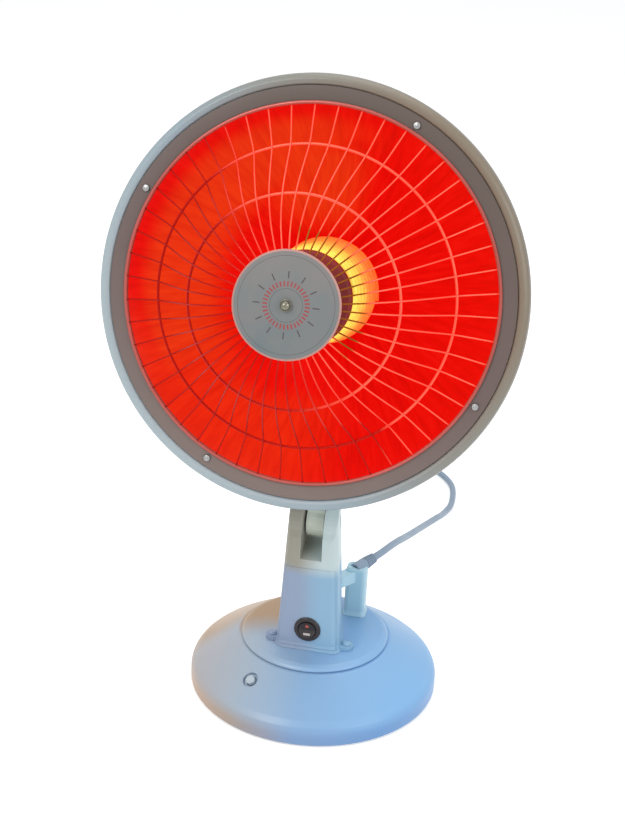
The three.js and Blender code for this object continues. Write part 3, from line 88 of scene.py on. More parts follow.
def add_object(name, data):
    piece = bpy.data.objects.new(name, data)
    bpy.context.scene.collection.objects.link(piece)
    return piece


def add_mesh(name, corners, faces, place, smooth=True):
    """A mesh of corners in millimetres in the frame that place gives, set down in the row frame."""
    mesh = bpy.data.meshes.new(name)
    mesh.from_pydata([place @ Vector(corner) * MM for corner in corners], [], faces)
    mesh.validate()
    shape = bmesh.new()
    shape.from_mesh(mesh)
    bmesh.ops.remove_doubles(shape, verts=shape.verts, dist=1e-7)
    bmesh.ops.recalc_face_normals(shape, faces=shape.faces)
    shape.to_mesh(mesh)
    shape.free()
    for face in mesh.polygons:
        face.use_smooth = smooth
    return add_object(name, mesh)


def arc(centre_x, centre_y, radius, start, end, steps):
    turns = [math.radians(start + (end - start) * k / steps) for k in range(steps + 1)]
    return [(centre_x + radius * math.cos(t), centre_y + radius * math.sin(t)) for t in turns]


def rounded(outline, radius, steps=3, closed=True):
    """An outline of [radius, height] points with its corners rounded where there is room."""
    points = [Vector(point) for point in outline]
    result = []
    for k, point in enumerate(points):
        if not closed and k in (0, len(points) - 1):
            result.append(point)
            continue
        before = points[k - 1] - point
        after = points[(k + 1) % len(points)] - point
        angle = before.angle(after)
        on_axis = point.x < 0.01
        if on_axis or angle > math.radians(172):
            result.append(point)
            continue
        reach = min(radius / math.tan(angle / 2), before.length * 0.45, after.length * 0.45)
        start = point + before.normalized() * reach
        end = point + after.normalized() * reach
        for i in range(steps + 1):
            share = i / steps
            result.append(start * (1 - share) ** 2 + point * 2 * share * (1 - share) + end * share**2)
    return result


def lathe(name, outline, place, segments=128, radius=0.4, closed=True):
    points = rounded(outline, radius, closed=closed)
    corners = []
    for k in range(segments):
        turn = 2 * math.pi * k / segments
        corners += [(p.x * math.cos(turn), p.x * math.sin(turn), p.y) for p in points]
    count = len(points)
    spans = count if closed else count - 1
    faces = []
    for k in range(segments):
        near, far = k * count, (k + 1) % segments * count
        for i in range(spans):
            j = (i + 1) % count
            faces.append((near + i, far + i, far + j, near + j))
    return add_mesh(name, corners, faces, place)


def tube_mesh(paths, radius, sides, closed=False):
    """Corners and faces of round tubes along paths of points, without twist."""
    corners, faces = [], []
    for path in paths:
        first = len(corners)
        points = [Vector(point) for point in path]
        count = len(points)
        side = None
        for k, point in enumerate(points):
            before = points[k - 1] if closed or k else point
            after = points[(k + 1) % count] if closed or k + 1 < count else point
            along = (after - before).normalized()
            if side is None:
                guide = Vector((0, 0, 1)) if abs(along.z) < 0.9 else Vector((1, 0, 0))
                side = guide.cross(along)
            side = (side - along * side.dot(along)).normalized()
            up = along.cross(side)
            for i in range(sides):
                turn = 2 * math.pi * i / sides
                corners.append(point + radius * (side * math.cos(turn) + up * math.sin(turn)))
        for k in range(count if closed else count - 1):
            near, far = first + k * sides, first + (k + 1) % count * sides
            for i in range(sides):
                j = (i + 1) % sides
                faces.append((near + i, near + j, far + j, far + i))
        if not closed:
            faces.append(tuple(first + i for i in range(sides))[::-1])
            last = first + (count - 1) * sides
            faces.append(tuple(last + i for i in range(sides)))
    return corners, faces


def catmull_rom(points, steps):
    """Points on a smooth centripetal curve through the given ones."""
    points = [Vector(point) for point in points]
    line = [points[0] * 2 - points[1], *points, points[-1] * 2 - points[-2]]
    result = []
    for k in range(1, len(line) - 2):
        p0, p1, p2, p3 = line[k - 1:k + 3]
        t0 = 0
        t1 = t0 + max((p1 - p0).length, 1e-6) ** 0.5
        t2 = t1 + max((p2 - p1).length, 1e-6) ** 0.5
        t3 = t2 + max((p3 - p2).length, 1e-6) ** 0.5
        for i in range(steps):
            t = t1 + (t2 - t1) * i / steps
            a1 = p0 * (t1 - t) / (t1 - t0) + p1 * (t - t0) / (t1 - t0)
            a2 = p1 * (t2 - t) / (t2 - t1) + p2 * (t - t1) / (t2 - t1)
            a3 = p2 * (t3 - t) / (t3 - t2) + p3 * (t - t2) / (t3 - t2)
            b1 = a1 * (t2 - t) / (t2 - t0) + a2 * (t - t0) / (t2 - t0)
            b2 = a2 * (t3 - t) / (t3 - t1) + a3 * (t - t1) / (t3 - t1)
            result.append(b1 * (t2 - t) / (t2 - t1) + b2 * (t - t1) / (t2 - t1))
    return [*result, points[-1]]


# ---------------------------------------------------------------- power cord

CORD_RADIUS = 3.5
COIL_RADIUS = 50
COIL_X = -15
COIL_Y = 448
TURNS_IN = 1.75
TURN_PITCH = 8.8
LAYER_PITCH = 7.8
TAIL_LENGTH = 34
GLAND_REACH = 20
SEAT = 0.3
PLUG_HALF_HEIGHT = 6.82

gland_direction = Vector((0.5, 0.8, 0.12)).normalized()
gland_seat = Vector((33, 42, 104))
cord_start = gland_seat + gland_direction * (GLAND_REACH + SEAT)
ENTRY_Y = COIL_Y + COIL_RADIUS


def cord_route():
    return [
        cord_start,
        cord_start + gland_direction * 8,
        (57, 100, 102.5),
        (63, 160, 81),
        (69, 230, 56),
        (75, 300, 31),
        (80, 352, 13.5),
        (83, 398, CORD_RADIUS + 1.2),
        (75, 448, CORD_RADIUS + 0.3),
        (45, 485, CORD_RADIUS + 0.1),
        (COIL_X + 18, ENTRY_Y, CORD_RADIUS),
        (COIL_X + 2 * CORD_RADIUS + SEAT, ENTRY_Y, CORD_RADIUS),
    ]


def coil_route():
    steps = 32
    total = 2 * TURNS_IN + 0.5
    count = round(total * steps)
    points = []
    for k in range(count + 1):
        turns = k / steps
        climb = min(max((turns - TURNS_IN) / 0.5, 0), 1)
        inward = min(turns, total - turns, TURNS_IN)
        radius = COIL_RADIUS - TURN_PITCH * inward
        angle = math.pi / 2 + turns * 2 * math.pi
        points.append(Vector((
            COIL_X + radius * math.cos(angle),
            COIL_Y + radius * math.sin(angle),
            CORD_RADIUS + LAYER_PITCH * climb,
        )))
    return points


def tail_route():
    high = CORD_RADIUS + LAYER_PITCH
    start = COIL_X - 2 * CORD_RADIUS - SEAT
    return [
        (start, ENTRY_Y, high),
        (start - 4, ENTRY_Y, high),
        (start - TAIL_LENGTH / 2, ENTRY_Y + 1, (high + PLUG_HALF_HEIGHT) / 2),
        (start - TAIL_LENGTH + 4, ENTRY_Y, PLUG_HALF_HEIGHT),
        (start - TAIL_LENGTH, ENTRY_Y, PLUG_HALF_HEIGHT),
    ]


def add_cord():
    route = catmull_rom(cord_route(), 6)
    line = [*route, *coil_route(), *catmull_rom(tail_route(), 4)]
    line = [Vector((p.x, p.y + AXIS_Y, p.z)) * MM for p in line]
    curve = bpy.data.curves.new("mains_lead", "CURVE")
    curve.dimensions = "3D"
    curve.bevel_depth = 1  # times each point's radius, which Blender adds to the curve's bounds
    curve.bevel_resolution = 5
    curve.use_fill_caps = True
    spline = curve.splines.new("POLY")
    spline.points.add(len(line) - 1)
    for point, place in zip(spline.points, line):
        point.co = (*place, 1)
        point.radius = CORD_RADIUS * MM
    lead = add_object("mains_lead", curve)
    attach(lead, "swing")
    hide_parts("power_cord", "cord_coil", "cord_tail")
    return lead


mains_lead = add_cord()

# ---------------------------------------------------------------- materials


def srgb(red, green, blue):
    """A colour of 0 to 255 as a linear one."""
    parts = [channel / 255 for channel in (red, green, blue)]
    return (*(c / 12.92 if c <= 0.04045 else ((c + 0.055) / 1.055) ** 2.4 for c in parts), 1)


class Finish:
    """A material under construction: its node tree, its shader and short calls for common nodes."""

    def __init__(self, name, color, roughness, metallic=0.0):
        self.material = bpy.data.materials.new(name)
        self.material.use_nodes = True
        self.tree = self.material.node_tree
        self.shader = self.tree.nodes["Principled BSDF"]
        self.shader.inputs["Base Color"].default_value = color
        self.shader.inputs["Roughness"].default_value = roughness
        self.shader.inputs["Metallic"].default_value = metallic

    def node(self, kind, **settings):
        made = self.tree.nodes.new(kind)
        for key, value in settings.items():
            setattr(made, key, value)
        return made

    def link(self, source, target):
        self.tree.links.new(source, target)

    def place(self, matrix=None):
        """Coordinates in metres, in the frame that matrix gives in millimetres."""
        coordinates = self.node("ShaderNodeTexCoord").outputs["Object"]
        if matrix is None:
            return coordinates
        mapping = self.node("ShaderNodeMapping", vector_type="TEXTURE")
        mapping.inputs["Location"].default_value = matrix.translation * MM
        mapping.inputs["Rotation"].default_value = matrix.to_euler()
        self.link(coordinates, mapping.inputs["Vector"])
        return mapping.outputs["Vector"]

    def noise(self, vector, scale, detail=3, roughness=0.5):
        made = self.node("ShaderNodeTexNoise")
        made.inputs["Scale"].default_value = scale
        made.inputs["Detail"].default_value = detail
        made.inputs["Roughness"].default_value = roughness
        self.link(vector, made.inputs["Vector"])
        return made.outputs["Fac"]

    def ramp(self, value, stops):
        made = self.node("ShaderNodeValToRGB")
        elements = made.color_ramp.elements
        while len(elements) < len(stops):
            elements.new(0.5)
        for element, (position, color) in zip(elements, stops):
            element.position = position
            element.color = color
        self.link(value, made.inputs["Fac"])
        return made.outputs["Color"]

    def math(self, operation, first, second=None):
        made = self.node("ShaderNodeMath", operation=operation)
        for socket, value in zip(made.inputs, (first, second)):
            if isinstance(value, (int, float)):
                socket.default_value = value
            elif value is not None:
                self.link(value, socket)
        return made.outputs["Value"]

    def range(self, value, low, high, to_low, to_high):
        made = self.node("ShaderNodeMapRange")
        for key, number in (("From Min", low), ("From Max", high), ("To Min", to_low), ("To Max", to_high)):
            made.inputs[key].default_value = number
        self.link(value, made.inputs["Value"])
        return made.outputs["Result"]

    def mix(self, share, first, second):
        made = self.node("ShaderNodeMix", data_type="RGBA")
        self.set_or_link(made.inputs[0], share)
        self.set_or_link(made.inputs[6], first)
        self.set_or_link(made.inputs[7], second)
        return made.outputs[2]

    def set_or_link(self, socket, value):
        if isinstance(value, (int, float, tuple)):
            socket.default_value = value
        else:
            self.link(value, socket)

    def bump(self, height, strength, distance):
        made = self.node("ShaderNodeBump")
        made.inputs["Strength"].default_value = strength
        made.inputs["Distance"].default_value = distance
        self.link(height, made.inputs["Height"])
        self.link(made.outputs["Normal"], self.shader.inputs["Normal"])

    def split(self, vector):
        """The X, Y and Z of a vector."""
        made = self.node("ShaderNodeSeparateXYZ")
        self.link(vector, made.inputs["Vector"])
        return made.outputs["X"], made.outputs["Y"], made.outputs["Z"]

    def blend(self, first, second, share):
        """A weighted sum: first + second * share."""
        return self.math("ADD", first, self.math("MULTIPLY", second, share))

    def length(self, x, y):
        return self.math("SQRT", self.math("ADD", self.math("MULTIPLY", x, x), self.math("MULTIPLY", y, y)))

    def fade(self, value, low, high):
        """0 below low, 1 above high and a smooth step between; the other way round if low is above high."""
        made = self.node("ShaderNodeMapRange", interpolation_type="SMOOTHSTEP")
        made.inputs["From Min"].default_value = min(low, high)
        made.inputs["From Max"].default_value = max(low, high)
        made.inputs["To Min"].default_value = 0 if low < high else 1
        made.inputs["To Max"].default_value = 1 if low < high else 0
        self.link(value, made.inputs["Value"])
        return made.outputs["Result"]

    def input(self, name, value):
        self.set_or_link(self.shader.inputs[name], value)


def moulded(name, color, shade, roughness, grain=1400, depth=0.00003, metallic=0.0):
    """Plastic or paint: faint clouds of tone, fine grain in the surface and uneven gloss."""
    made = Finish(name, color, roughness, metallic)
    where = made.place()
    made.input("Base Color", made.ramp(made.noise(where, 9, 2), [(0.3, shade), (0.7, color)]))
    made.input("Roughness", made.range(made.noise(where, 22, 1), 0.3, 0.7, roughness - 0.03, roughness + 0.05))
    made.bump(made.noise(where, grain, 1), 0.15, depth)
    return made


def brushed(name, color, roughness, scale=260):
    made = Finish(name, color, roughness, 1.0)
    where = made.place()
    stretched = made.node("ShaderNodeMapping")
    stretched.inputs["Scale"].default_value = (1, 1, 8)
    made.link(where, stretched.inputs["Vector"])
    lines = made.noise(stretched.outputs["Vector"], scale, 3)
    made.input("Roughness", made.range(lines, 0.3, 0.7, roughness - 0.07, roughness + 0.1))
    made.bump(lines, 0.2, 0.00003)
    return made


def base_color_painted_glow(made):
    """Blue-white plastic with painted light: greyer to the left and bluer to the right as the lamps and the dish's
    glow fall on it, on the low skirt a painted glow in tan at the left and painted shade at the right, and a painted
    glow in tan where the lit dish shines down on its back left.
    """
    x, y, z = made.split(made.place(BASE))
    drift = made.noise(made.place(), 14, 2)
    across = made.blend(x, drift, 0.03)
    color = made.ramp(made.range(across, -0.105, 0.115, 0, 1), [
        (0.0, srgb(186, 180, 180)),
        (0.3, srgb(172, 186, 200)),
        (0.58, srgb(144, 182, 220)),
        (1.0, srgb(138, 188, 234)),
    ])
    # Painted light on the low skirt: tan on the left, a painted glow where the dish's light falls, and a darker blue
    # on the right, painted shade.
    low_painted_glow = made.fade(z, 0.024, 0.008)
    color = made.mix(low_painted_glow, color, made.ramp(made.range(across, -0.1, 0.1, 0, 1), [
        (0.0, srgb(196, 162, 136)),
        (0.3, srgb(176, 160, 148)),
        (0.6, srgb(132, 164, 206)),
        (1.0, srgb(114, 162, 214)),
    ]))
    # Painted glow: tan on the back left, where the lit dish shines down.
    behind = made.blend(made.blend(y, x, -0.45), drift, 0.02)
    behind = made.blend(behind, made.fade(z, 0.0475, 0.049), 0.03)
    lit = made.math("MULTIPLY", made.fade(behind, 0.028, 0.075), made.fade(x, 0.025, -0.02))
    return made.mix(lit, color, srgb(184, 152, 120))


def neck_color_painted_glow(made):
    """Blue-white plastic with painted light: a painted glow that makes it paler at the top and cream on the left where
    the dish shines on it, and a painted highlight behind, on the cord post.
    """
    x, y, z = made.split(made.place(BASE))
    drift = made.noise(made.place(), 26, 2)
    # Painted glow: paler at the top and cream on the left, where the dish shines on the neck.
    high = made.fade(made.blend(z, drift, 0.01), 0.136, 0.152)
    left = made.fade(made.blend(x, drift, 0.012), 0.02, -0.008)
    low = made.mix(left, srgb(146, 186, 214), srgb(150, 166, 192))
    top = made.mix(left, srgb(204, 220, 220), srgb(160, 156, 142))
    # Painted highlight: lighter behind the axis, on the cord post, offsetting the shade it stands in.
    low = made.mix(made.fade(y, 0.008, 0.02), low, srgb(182, 218, 232))
    return made.mix(high, low, top)


def tinted(name, roughness, paint):
    """Moulded plastic whose colour comes from a function of the place on the heater."""
    made = moulded(name, srgb(150, 180, 210), srgb(140, 172, 204), roughness)
    made.input("Base Color", paint(made))
    return made


def casing_color_painted_light(made):
    """Grey paint with painted light: paler and cool on the left and below, a painted warm glow towards the upper
    right, and painted shade that darkens its widest line.
    """
    x, y, _ = made.split(made.place(HEAD))
    slant = made.blend(made.blend(x, y, 0.55), made.noise(made.place(), 8, 2), 0.05)
    color = made.ramp(made.range(slant, -0.14, 0.19, 0, 1), [
        (0.0, srgb(172, 187, 192)),
        (0.35, srgb(152, 168, 176)),
        (0.68, srgb(138, 138, 130)),
        (1.0, srgb(134, 121, 103)),
    ])
    # Painted shade: darker round the widest line of the rim.
    edge = made.fade(made.length(x, y), 0.1755, 0.1778)
    return made.mix(made.math("MULTIPLY", edge, 0.45), color, srgb(92, 88, 80))


def flange_color_painted_shading(made):
    """Dark warm grey with painted shading: lighter at the bottom left."""
    x, y, _ = made.split(made.place(HEAD))
    slant = made.blend(made.blend(y, x, 0.35), made.noise(made.place(), 30, 3), 0.08)
    return made.ramp(made.range(slant, -0.12, 0.2, 0, 1), [
        (0.0, srgb(126, 111, 105)),
        (0.45, srgb(106, 90, 86)),
        (1.0, srgb(95, 82, 75)),
    ])


white_plastic = tinted("white_plastic", 0.36, neck_color_painted_glow)
base_plastic = tinted("base_plastic", 0.34, base_color_painted_glow)
pale_paint = tinted("pale_paint", 0.34, casing_color_painted_light)
grey_paint = tinted("grey_metal_paint", 0.46, flange_color_painted_shading)
# The arm's plastic is lighter than the neck's: a painted highlight that offsets the shade in the neck's slot.
arm_plastic = moulded("arm_plastic", srgb(224, 230, 216), srgb(212, 218, 202), 0.4)
knob_plastic = moulded("knob_plastic", srgb(198, 208, 216), srgb(186, 198, 208), 0.25)
grey_plastic = moulded("grey_plastic", srgb(112, 117, 121), srgb(100, 104, 108), 0.5)
black_plastic = moulded("black_plastic", srgb(44, 36, 38), srgb(34, 27, 30), 0.4)
rubber = moulded("rubber", srgb(43, 43, 45), srgb(34, 34, 36), 0.85, grain=900, depth=0.0001)
cast_iron = moulded("cast_iron", srgb(62, 63, 65), srgb(48, 48, 50), 0.75, grain=500, depth=0.0003, metallic=0.6)
steel = brushed("steel", srgb(160, 160, 160), 0.38)
dull_steel = brushed("dull_steel", srgb(128, 126, 112), 0.3)
brass = brushed("brass", srgb(190, 158, 84), 0.32)
cord_plastic = moulded("cord_plastic", srgb(150, 168, 186), srgb(138, 156, 176), 0.45, grain=1800)
mark_white = moulded("mark_white", srgb(206, 196, 190), srgb(190, 180, 176), 0.6)
mark_red = moulded("mark_red", srgb(190, 96, 76), srgb(170, 80, 62), 0.6)


def wire_color_painted_light(made, light, dark):
    """Painted light on the wire: a painted highlight where the light strikes it, painted shade in dark red at the left
    and low, and painted shade in brown before the element.
    """
    x, y, _ = made.split(made.place(HEAD))
    slant = made.blend(made.blend(x, y, 0.6), made.noise(made.place(), 20, 2), 0.05)
    radius = made.length(x, y)
    # Painted shade: dark red low down and on the left.
    low = made.math("MULTIPLY", made.fade(y, -0.07, -0.1), made.fade(radius, 0.1, 0.115))
    low = made.math("MULTIPLY", low, made.fade(x, 0.09, 0.06))
    bright = made.math("SUBTRACT", made.fade(slant, -0.015, 0.06), low)
    color = made.mix(bright, dark, light)
    # Painted shade: brown where the wire crosses before the glowing element.
    before = made.math("MULTIPLY", made.fade(radius, 0.066, 0.058), made.fade(made.blend(x, y, 0.5), 0.02, 0.034))
    return made.mix(before, color, srgb(116, 66, 10))


def chrome_wire():
    """Plated guard wire with a painted reflection of the dish's red glow, given as its colour and as emission."""
    made = Finish("chrome_wire", srgb(225, 120, 104), 0.3, 0.85)
    color = wire_color_painted_light(made, srgb(250, 84, 66), srgb(150, 14, 6))
    made.input("Base Color", color)
    made.input("Roughness", made.range(made.noise(made.place(), 300, 2), 0.3, 0.7, 0.24, 0.36))
    # Emission: the painted glow of the dish's light on the wire.
    made.input("Emission Color", color)
    made.input("Emission Strength", 0.5)
    return made


def dish_painted_glow():
    """Polished dish whose colour is a painted glow of the element's light, given as emission: red, orange in soft
    bands, with fine radial streaks.
    """
    made = Finish("dish_painted_glow", srgb(110, 6, 3), 0.35)
    where = made.place(HEAD)
    x, y, _ = made.split(where)
    radius = made.length(x, y)
    spoke = made.node("ShaderNodeCombineXYZ")
    made.link(made.math("DIVIDE", x, radius), spoke.inputs["X"])
    made.link(made.math("DIVIDE", y, radius), spoke.inputs["Y"])
    made.link(made.math("MULTIPLY", radius, 1.5), spoke.inputs["Z"])
    streaks = made.noise(spoke.outputs["Vector"], 26, 4, 0.6)
    clouds = made.noise(where, 16, 3)
    # Painted glow: orange bands on the left side, low down on the left and at the top.
    side = made.blend(made.blend(made.math("MULTIPLY", x, -0.8), y, 0.35), clouds, 0.07)
    side_share = made.math("MULTIPLY", made.fade(side, 0.03, 0.11), made.math(
        "MULTIPLY", made.fade(radius, 0.08, 0.105), made.fade(radius, 0.15, 0.136)))
    band = made.blend(radius, clouds, 0.04)
    low_share = made.math("MULTIPLY", made.fade(y, 0.0, -0.07), made.math(
        "MULTIPLY", made.fade(band, 0.105, 0.13), made.fade(x, 0.05, -0.03)))
    top_share = made.math("MULTIPLY", made.fade(y, 0.04, 0.075), made.math(
        "MULTIPLY", made.fade(made.math("ABSOLUTE", made.blend(x, clouds, 0.03)), 0.055, 0.012),
        made.fade(made.blend(y, clouds, 0.02), 0.145, 0.12)))
    below_and_above = made.math("MAXIMUM", made.math("MULTIPLY", low_share, 0.55), top_share)
    orange = made.math("MAXIMUM", side_share, below_and_above)
    red = made.ramp(streaks, [
        (0.3, srgb(222, 4, 2)),
        (0.5, srgb(240, 5, 3)),
        (0.75, srgb(250, 18, 10)),
    ])
    amber = made.ramp(streaks, [
        (0.3, srgb(228, 44, 12)),
        (0.75, srgb(250, 64, 18)),
    ])
    # Emission: the dish shows the element's light as a painted glow.
    made.input("Specular IOR Level", 0.1)
    made.input("Emission Color", made.mix(orange, red, amber))
    made.input("Emission Strength", 0.8)
    made.bump(streaks, 0.1, 0.0002)
    return made


def ceramic(name, color, shade, glow):
    made = Finish(name, color, 0.6)
    where = made.place(HEAD)
    tone = made.ramp(made.noise(where, 40, 5), [(0.35, shade), (0.65, color)])
    made.input("Base Color", tone)
    made.input("Emission Color", tone)
    made.input("Emission Strength", glow)
    made.bump(made.noise(where, 900, 3), 0.3, 0.0001)
    return made


def glowing_wire():
    """The hot winding: yellow towards the front, orange towards the cooler rear."""
    made = Finish("glowing_wire", srgb(255, 170, 40), 0.6)
    where = made.place(HEAD)
    _, _, z = made.split(where)
    height = made.blend(z, made.noise(where, 90, 3), 0.03)
    color = made.ramp(made.range(height, -0.07, 0.025, 0, 1), [
        (0.0, srgb(252, 96, 30)),
        (0.45, srgb(250, 142, 56)),
        (0.68, srgb(248, 196, 74)),
        (1.0, srgb(250, 226, 92)),
    ])
    made.input("Base Color", color)
    made.input("Emission Color", color)
    made.input("Emission Strength", 0.5)
    made.bump(made.noise(where, 420, 2), 0.3, 0.0004)
    return made


def hub_face():
    """Satin grey plate with a plain ring of ticks and two thin lines, painted shading that makes it darker and bluer
    towards the bottom, and a painted highlight in pink round its rim.
    """
    made = Finish("hub_face", srgb(134, 138, 138), 0.46, 0.1)
    where = made.place(HEAD)
    x, y, _ = made.split(where)
    radius = made.length(x, y)
    turn = made.math("ARCTAN2", y, x)

    def band(low, high):
        return made.math("MULTIPLY", made.math("GREATER_THAN", radius, low), made.math("LESS_THAN", radius, high))

    def ticks(count, half_width, low, high):
        spacing = 2 * math.pi / count
        near = made.math("WRAP", turn, spacing / 2)
        near.node.inputs[2].default_value = -spacing / 2
        arc_length = made.math("MULTIPLY", made.math("ABSOLUTE", near), radius)
        return made.math("MULTIPLY", made.math("LESS_THAN", arc_length, half_width), band(low, high))

    clouds = made.noise(where, 34, 4)
    # Painted shading: darker and bluer towards the bottom.
    plain = made.ramp(made.blend(clouds, made.range(y, -0.04, 0.04, 0, 1), 0.35), [
        (0.3, srgb(108, 120, 124)),
        (0.6, srgb(120, 125, 125)),
        (0.9, srgb(130, 127, 125)),
    ])
    short = ticks(36, 0.0006, 0.0145, 0.0185)
    long = ticks(12, 0.0005, 0.0205, 0.026)
    lines = made.math("MAXIMUM", band(0.0375, 0.0378), band(0.0126, 0.0129))
    color = made.mix(short, plain, srgb(160, 66, 66))
    color = made.mix(made.math("MAXIMUM", long, lines), color, srgb(84, 74, 76))
    # Painted highlight: a pink ring on the rim's rolled edge.
    color = made.mix(made.fade(radius, 0.0405, 0.0415), color, srgb(190, 140, 130))
    made.input("Base Color", color)
    made.input("Roughness", made.range(clouds, 0.3, 0.7, 0.4, 0.54))
    made.bump(made.noise(where, 1600, 2), 0.15, 0.00003)
    return made


chrome = chrome_wire()
# The outer hoop's pink is a painted reflection: plated wire showing the dish's red glow.
hoop_painted_reflection = moulded("hoop_painted_reflection", srgb(196, 96, 88), srgb(168, 76, 66), 0.35, metallic=0.3)
dish_glow = dish_painted_glow()
# The core's red colour and its emission are a painted glow: the hot winding's light on the ceramic.
core_red = ceramic("ceramic_core", srgb(122, 26, 22), srgb(98, 18, 18), 0.3)
socket_white = ceramic("ceramic_socket", srgb(214, 206, 192), srgb(196, 188, 174), 0.0)
hot_wire = glowing_wire()
hub_grey = hub_face()

# ---------------------------------------------------------------- finer surfaces


def finish(piece, material, body=None, replaces=()):
    piece.data.materials.clear()
    piece.data.materials.append(material.material)
    if body:
        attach(piece, body)
    if replaces:
        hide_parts(*replaces)
    return piece


finish(mains_lead, cord_plastic)

# Dimensions shared with the solids, in millimetres.
SEAM_RADIUS = 168
CASING_RADIUS = 178
CASING_BACK = 106
CASING_BACK_RADIUS = 86
SOCKET_HOLE = 24.3
MOUTH_RADIUS = 153.6
FLANGE_THICKNESS = 1.4
DISH_HOLE = 26.5
DISH_DEPTH = 94
DISH_MOUTH_HEIGHT = -4.2
HUB_FACE = 90
HUB_RADIUS = 42.5


def add_casing():
    outline = [
        (SOCKET_HOLE, -CASING_BACK),
        (CASING_BACK_RADIUS, -CASING_BACK),
        (112, -90),
        (136, -69),
        (158, -42),
        (171, -21),
        (176.6, -14),
        (CASING_RADIUS, -7),
        (CASING_RADIUS - 1.2, -1.2),
        (SEAM_RADIUS + 5, 2),
        (SEAM_RADIUS + 1, 0.4),
        (SEAM_RADIUS + SEAT, -1.7),
        (SEAM_RADIUS - 4, -1.7),
        (SEAM_RADIUS - 4, -3.3),
        (174.4, -4.3),
        (174.8, -13.4),
        (169.4, -20),
        (156.4, -41),
        (134.8, -67.8),
        (111.2, -88.6),
        (85.6, -104.4),
        (SOCKET_HOLE, -104.4),
    ]
    return lathe("casing_shell", outline, HEAD, 160, 3.0)


finish(add_casing(), pale_paint, "head", ["rear_casing"])


def add_flange():
    low = -FLANGE_THICKNESS
    outline = [
        (MOUTH_RADIUS, low - 2.2),
        (MOUTH_RADIUS + FLANGE_THICKNESS, low - 2.2),
        (MOUTH_RADIUS + FLANGE_THICKNESS, low),
        (SEAM_RADIUS, low),
        (SEAM_RADIUS, 0),
        (MOUTH_RADIUS, 0),
    ]
    return lathe("guard_ring_plate", outline, HEAD, 160, 0.4)


finish(add_flange(), grey_paint, "head", ["guard_flange"])


def dish_height(radius, offset=0.0):
    return DISH_MOUTH_HEIGHT - DISH_DEPTH * (1 - (radius / MOUTH_RADIUS) ** 2) + offset


def add_dish():
    radii = [DISH_HOLE + (MOUTH_RADIUS - DISH_HOLE) * k / 24 for k in range(25)]
    front = [(radius, dish_height(radius)) for radius in radii]
    lip = [(MOUTH_RADIUS + 1.8, DISH_MOUTH_HEIGHT), (MOUTH_RADIUS + 1.8, DISH_MOUTH_HEIGHT - 1)]
    back = [(radius, dish_height(radius, -1.2)) for radius in radii[:-1]][::-1]
    return lathe("dish", [*front, *lip, *back], HEAD, 160, 0.2)


finish(add_dish(), dish_glow, "head", ["reflector"])

# ---------------------------------------------------------------- guard

WIRE_COUNT = 50
WIRE_RADIUS = 0.62
HOOP_RADIUS = 1.05
LIP_RADIUS = 1.5
HUB_BACK_RADIUS = 40
GUARD_LINE = [
    (MOUTH_RADIUS - 0.2, 1.5),
    (139.6, 8.4),
    (123, 18.5),
    (104, 43.2),
    (85, 66),
    (62, 82),
    (HUB_BACK_RADIUS - 2, HUB_FACE - 2.8),
]


def add_guard():
    profile = catmull_rom([(r, 0, h) for r, h in GUARD_LINE], 4)
    wires = []
    for k in range(WIRE_COUNT):
        turn = Matrix.Rotation(2 * math.pi * k / WIRE_COUNT, 3, "Z")
        wires.append([turn @ point for point in profile])
    hoops = []
    for radius, height in ((121.7, 17.6), (83.9, 64.9)):
        hoops.append([(radius * math.cos(t), radius * math.sin(t), height)
                      for t in (2 * math.pi * k / 160 for k in range(160))])
    corners, faces = tube_mesh(wires, WIRE_RADIUS, 8)
    more, rings = tube_mesh(hoops, HOOP_RADIUS, 10, closed=True)
    start = len(corners)
    faces += [tuple(start + i for i in face) for face in rings]
    return add_mesh("guard_wires", corners + more, faces, HEAD)


finish(add_guard(), chrome, "head", ["wire_guard"])


def add_lip():
    """The outer hoop, welded to the wires' ends along the inner edge of the flange."""
    section = arc(MOUTH_RADIUS + 0.9, 1.1, LIP_RADIUS, 0, 330, 11)
    return lathe("outer_hoop", section, HEAD, 160, 0.01)


finish(add_lip(), hoop_painted_reflection, "head")


def add_hub():
    outline = [
        (0, HUB_FACE - 0.4),
        (HUB_RADIUS - 2, HUB_FACE - 0.9),
        (HUB_RADIUS - 1.2, HUB_FACE - 1.6),
        (HUB_RADIUS, HUB_FACE - 1.4),
        (HUB_RADIUS, HUB_FACE - 0.2),
        (HUB_RADIUS - 1.4, HUB_FACE + 0.6),
        (0, HUB_FACE + 1),
    ]
    return lathe("hub_disc", outline, HEAD, 128, 0.4, closed=False)


finish(add_hub(), hub_grey, "head", ["hub_plate"])


def add_hub_nut():
    low = HUB_FACE + 1 + SEAT
    dome = arc(0, low + 1.6, 4.2, 0, 90, 8)
    return lathe("dome_nut", [(0, low), (4.8, low), (4.8, low + 1.6), *dome], HEAD, 48, 0.3, closed=False)


finish(add_hub_nut(), dull_steel, "head", ["hub_nut"])

# ---------------------------------------------------------------- element

CORE_BACK = -80
CORE_FRONT = 15
CORE_BACK_RADIUS = 41
CORE_FRONT_RADIUS = 33.6
COIL_TURNS = 8
COIL_WIRE = 2.3


def core_radius(height):
    share = (height - CORE_BACK) / (CORE_FRONT - CORE_BACK)
    return CORE_BACK_RADIUS + (CORE_FRONT_RADIUS - CORE_BACK_RADIUS) * share


def add_core():
    outline = [
        (0, -83), (37, -83), (41, -80), (33.6, 15), (37.7, 15), (38.7, 16), (38.7, 22), (36.7, 24),
        (14, 24), (12, 21), (0, 21),
    ]
    return lathe("ceramic_core", outline, HEAD, 96, 0.8, closed=False)


finish(add_core(), core_red, "head", ["element_core"])


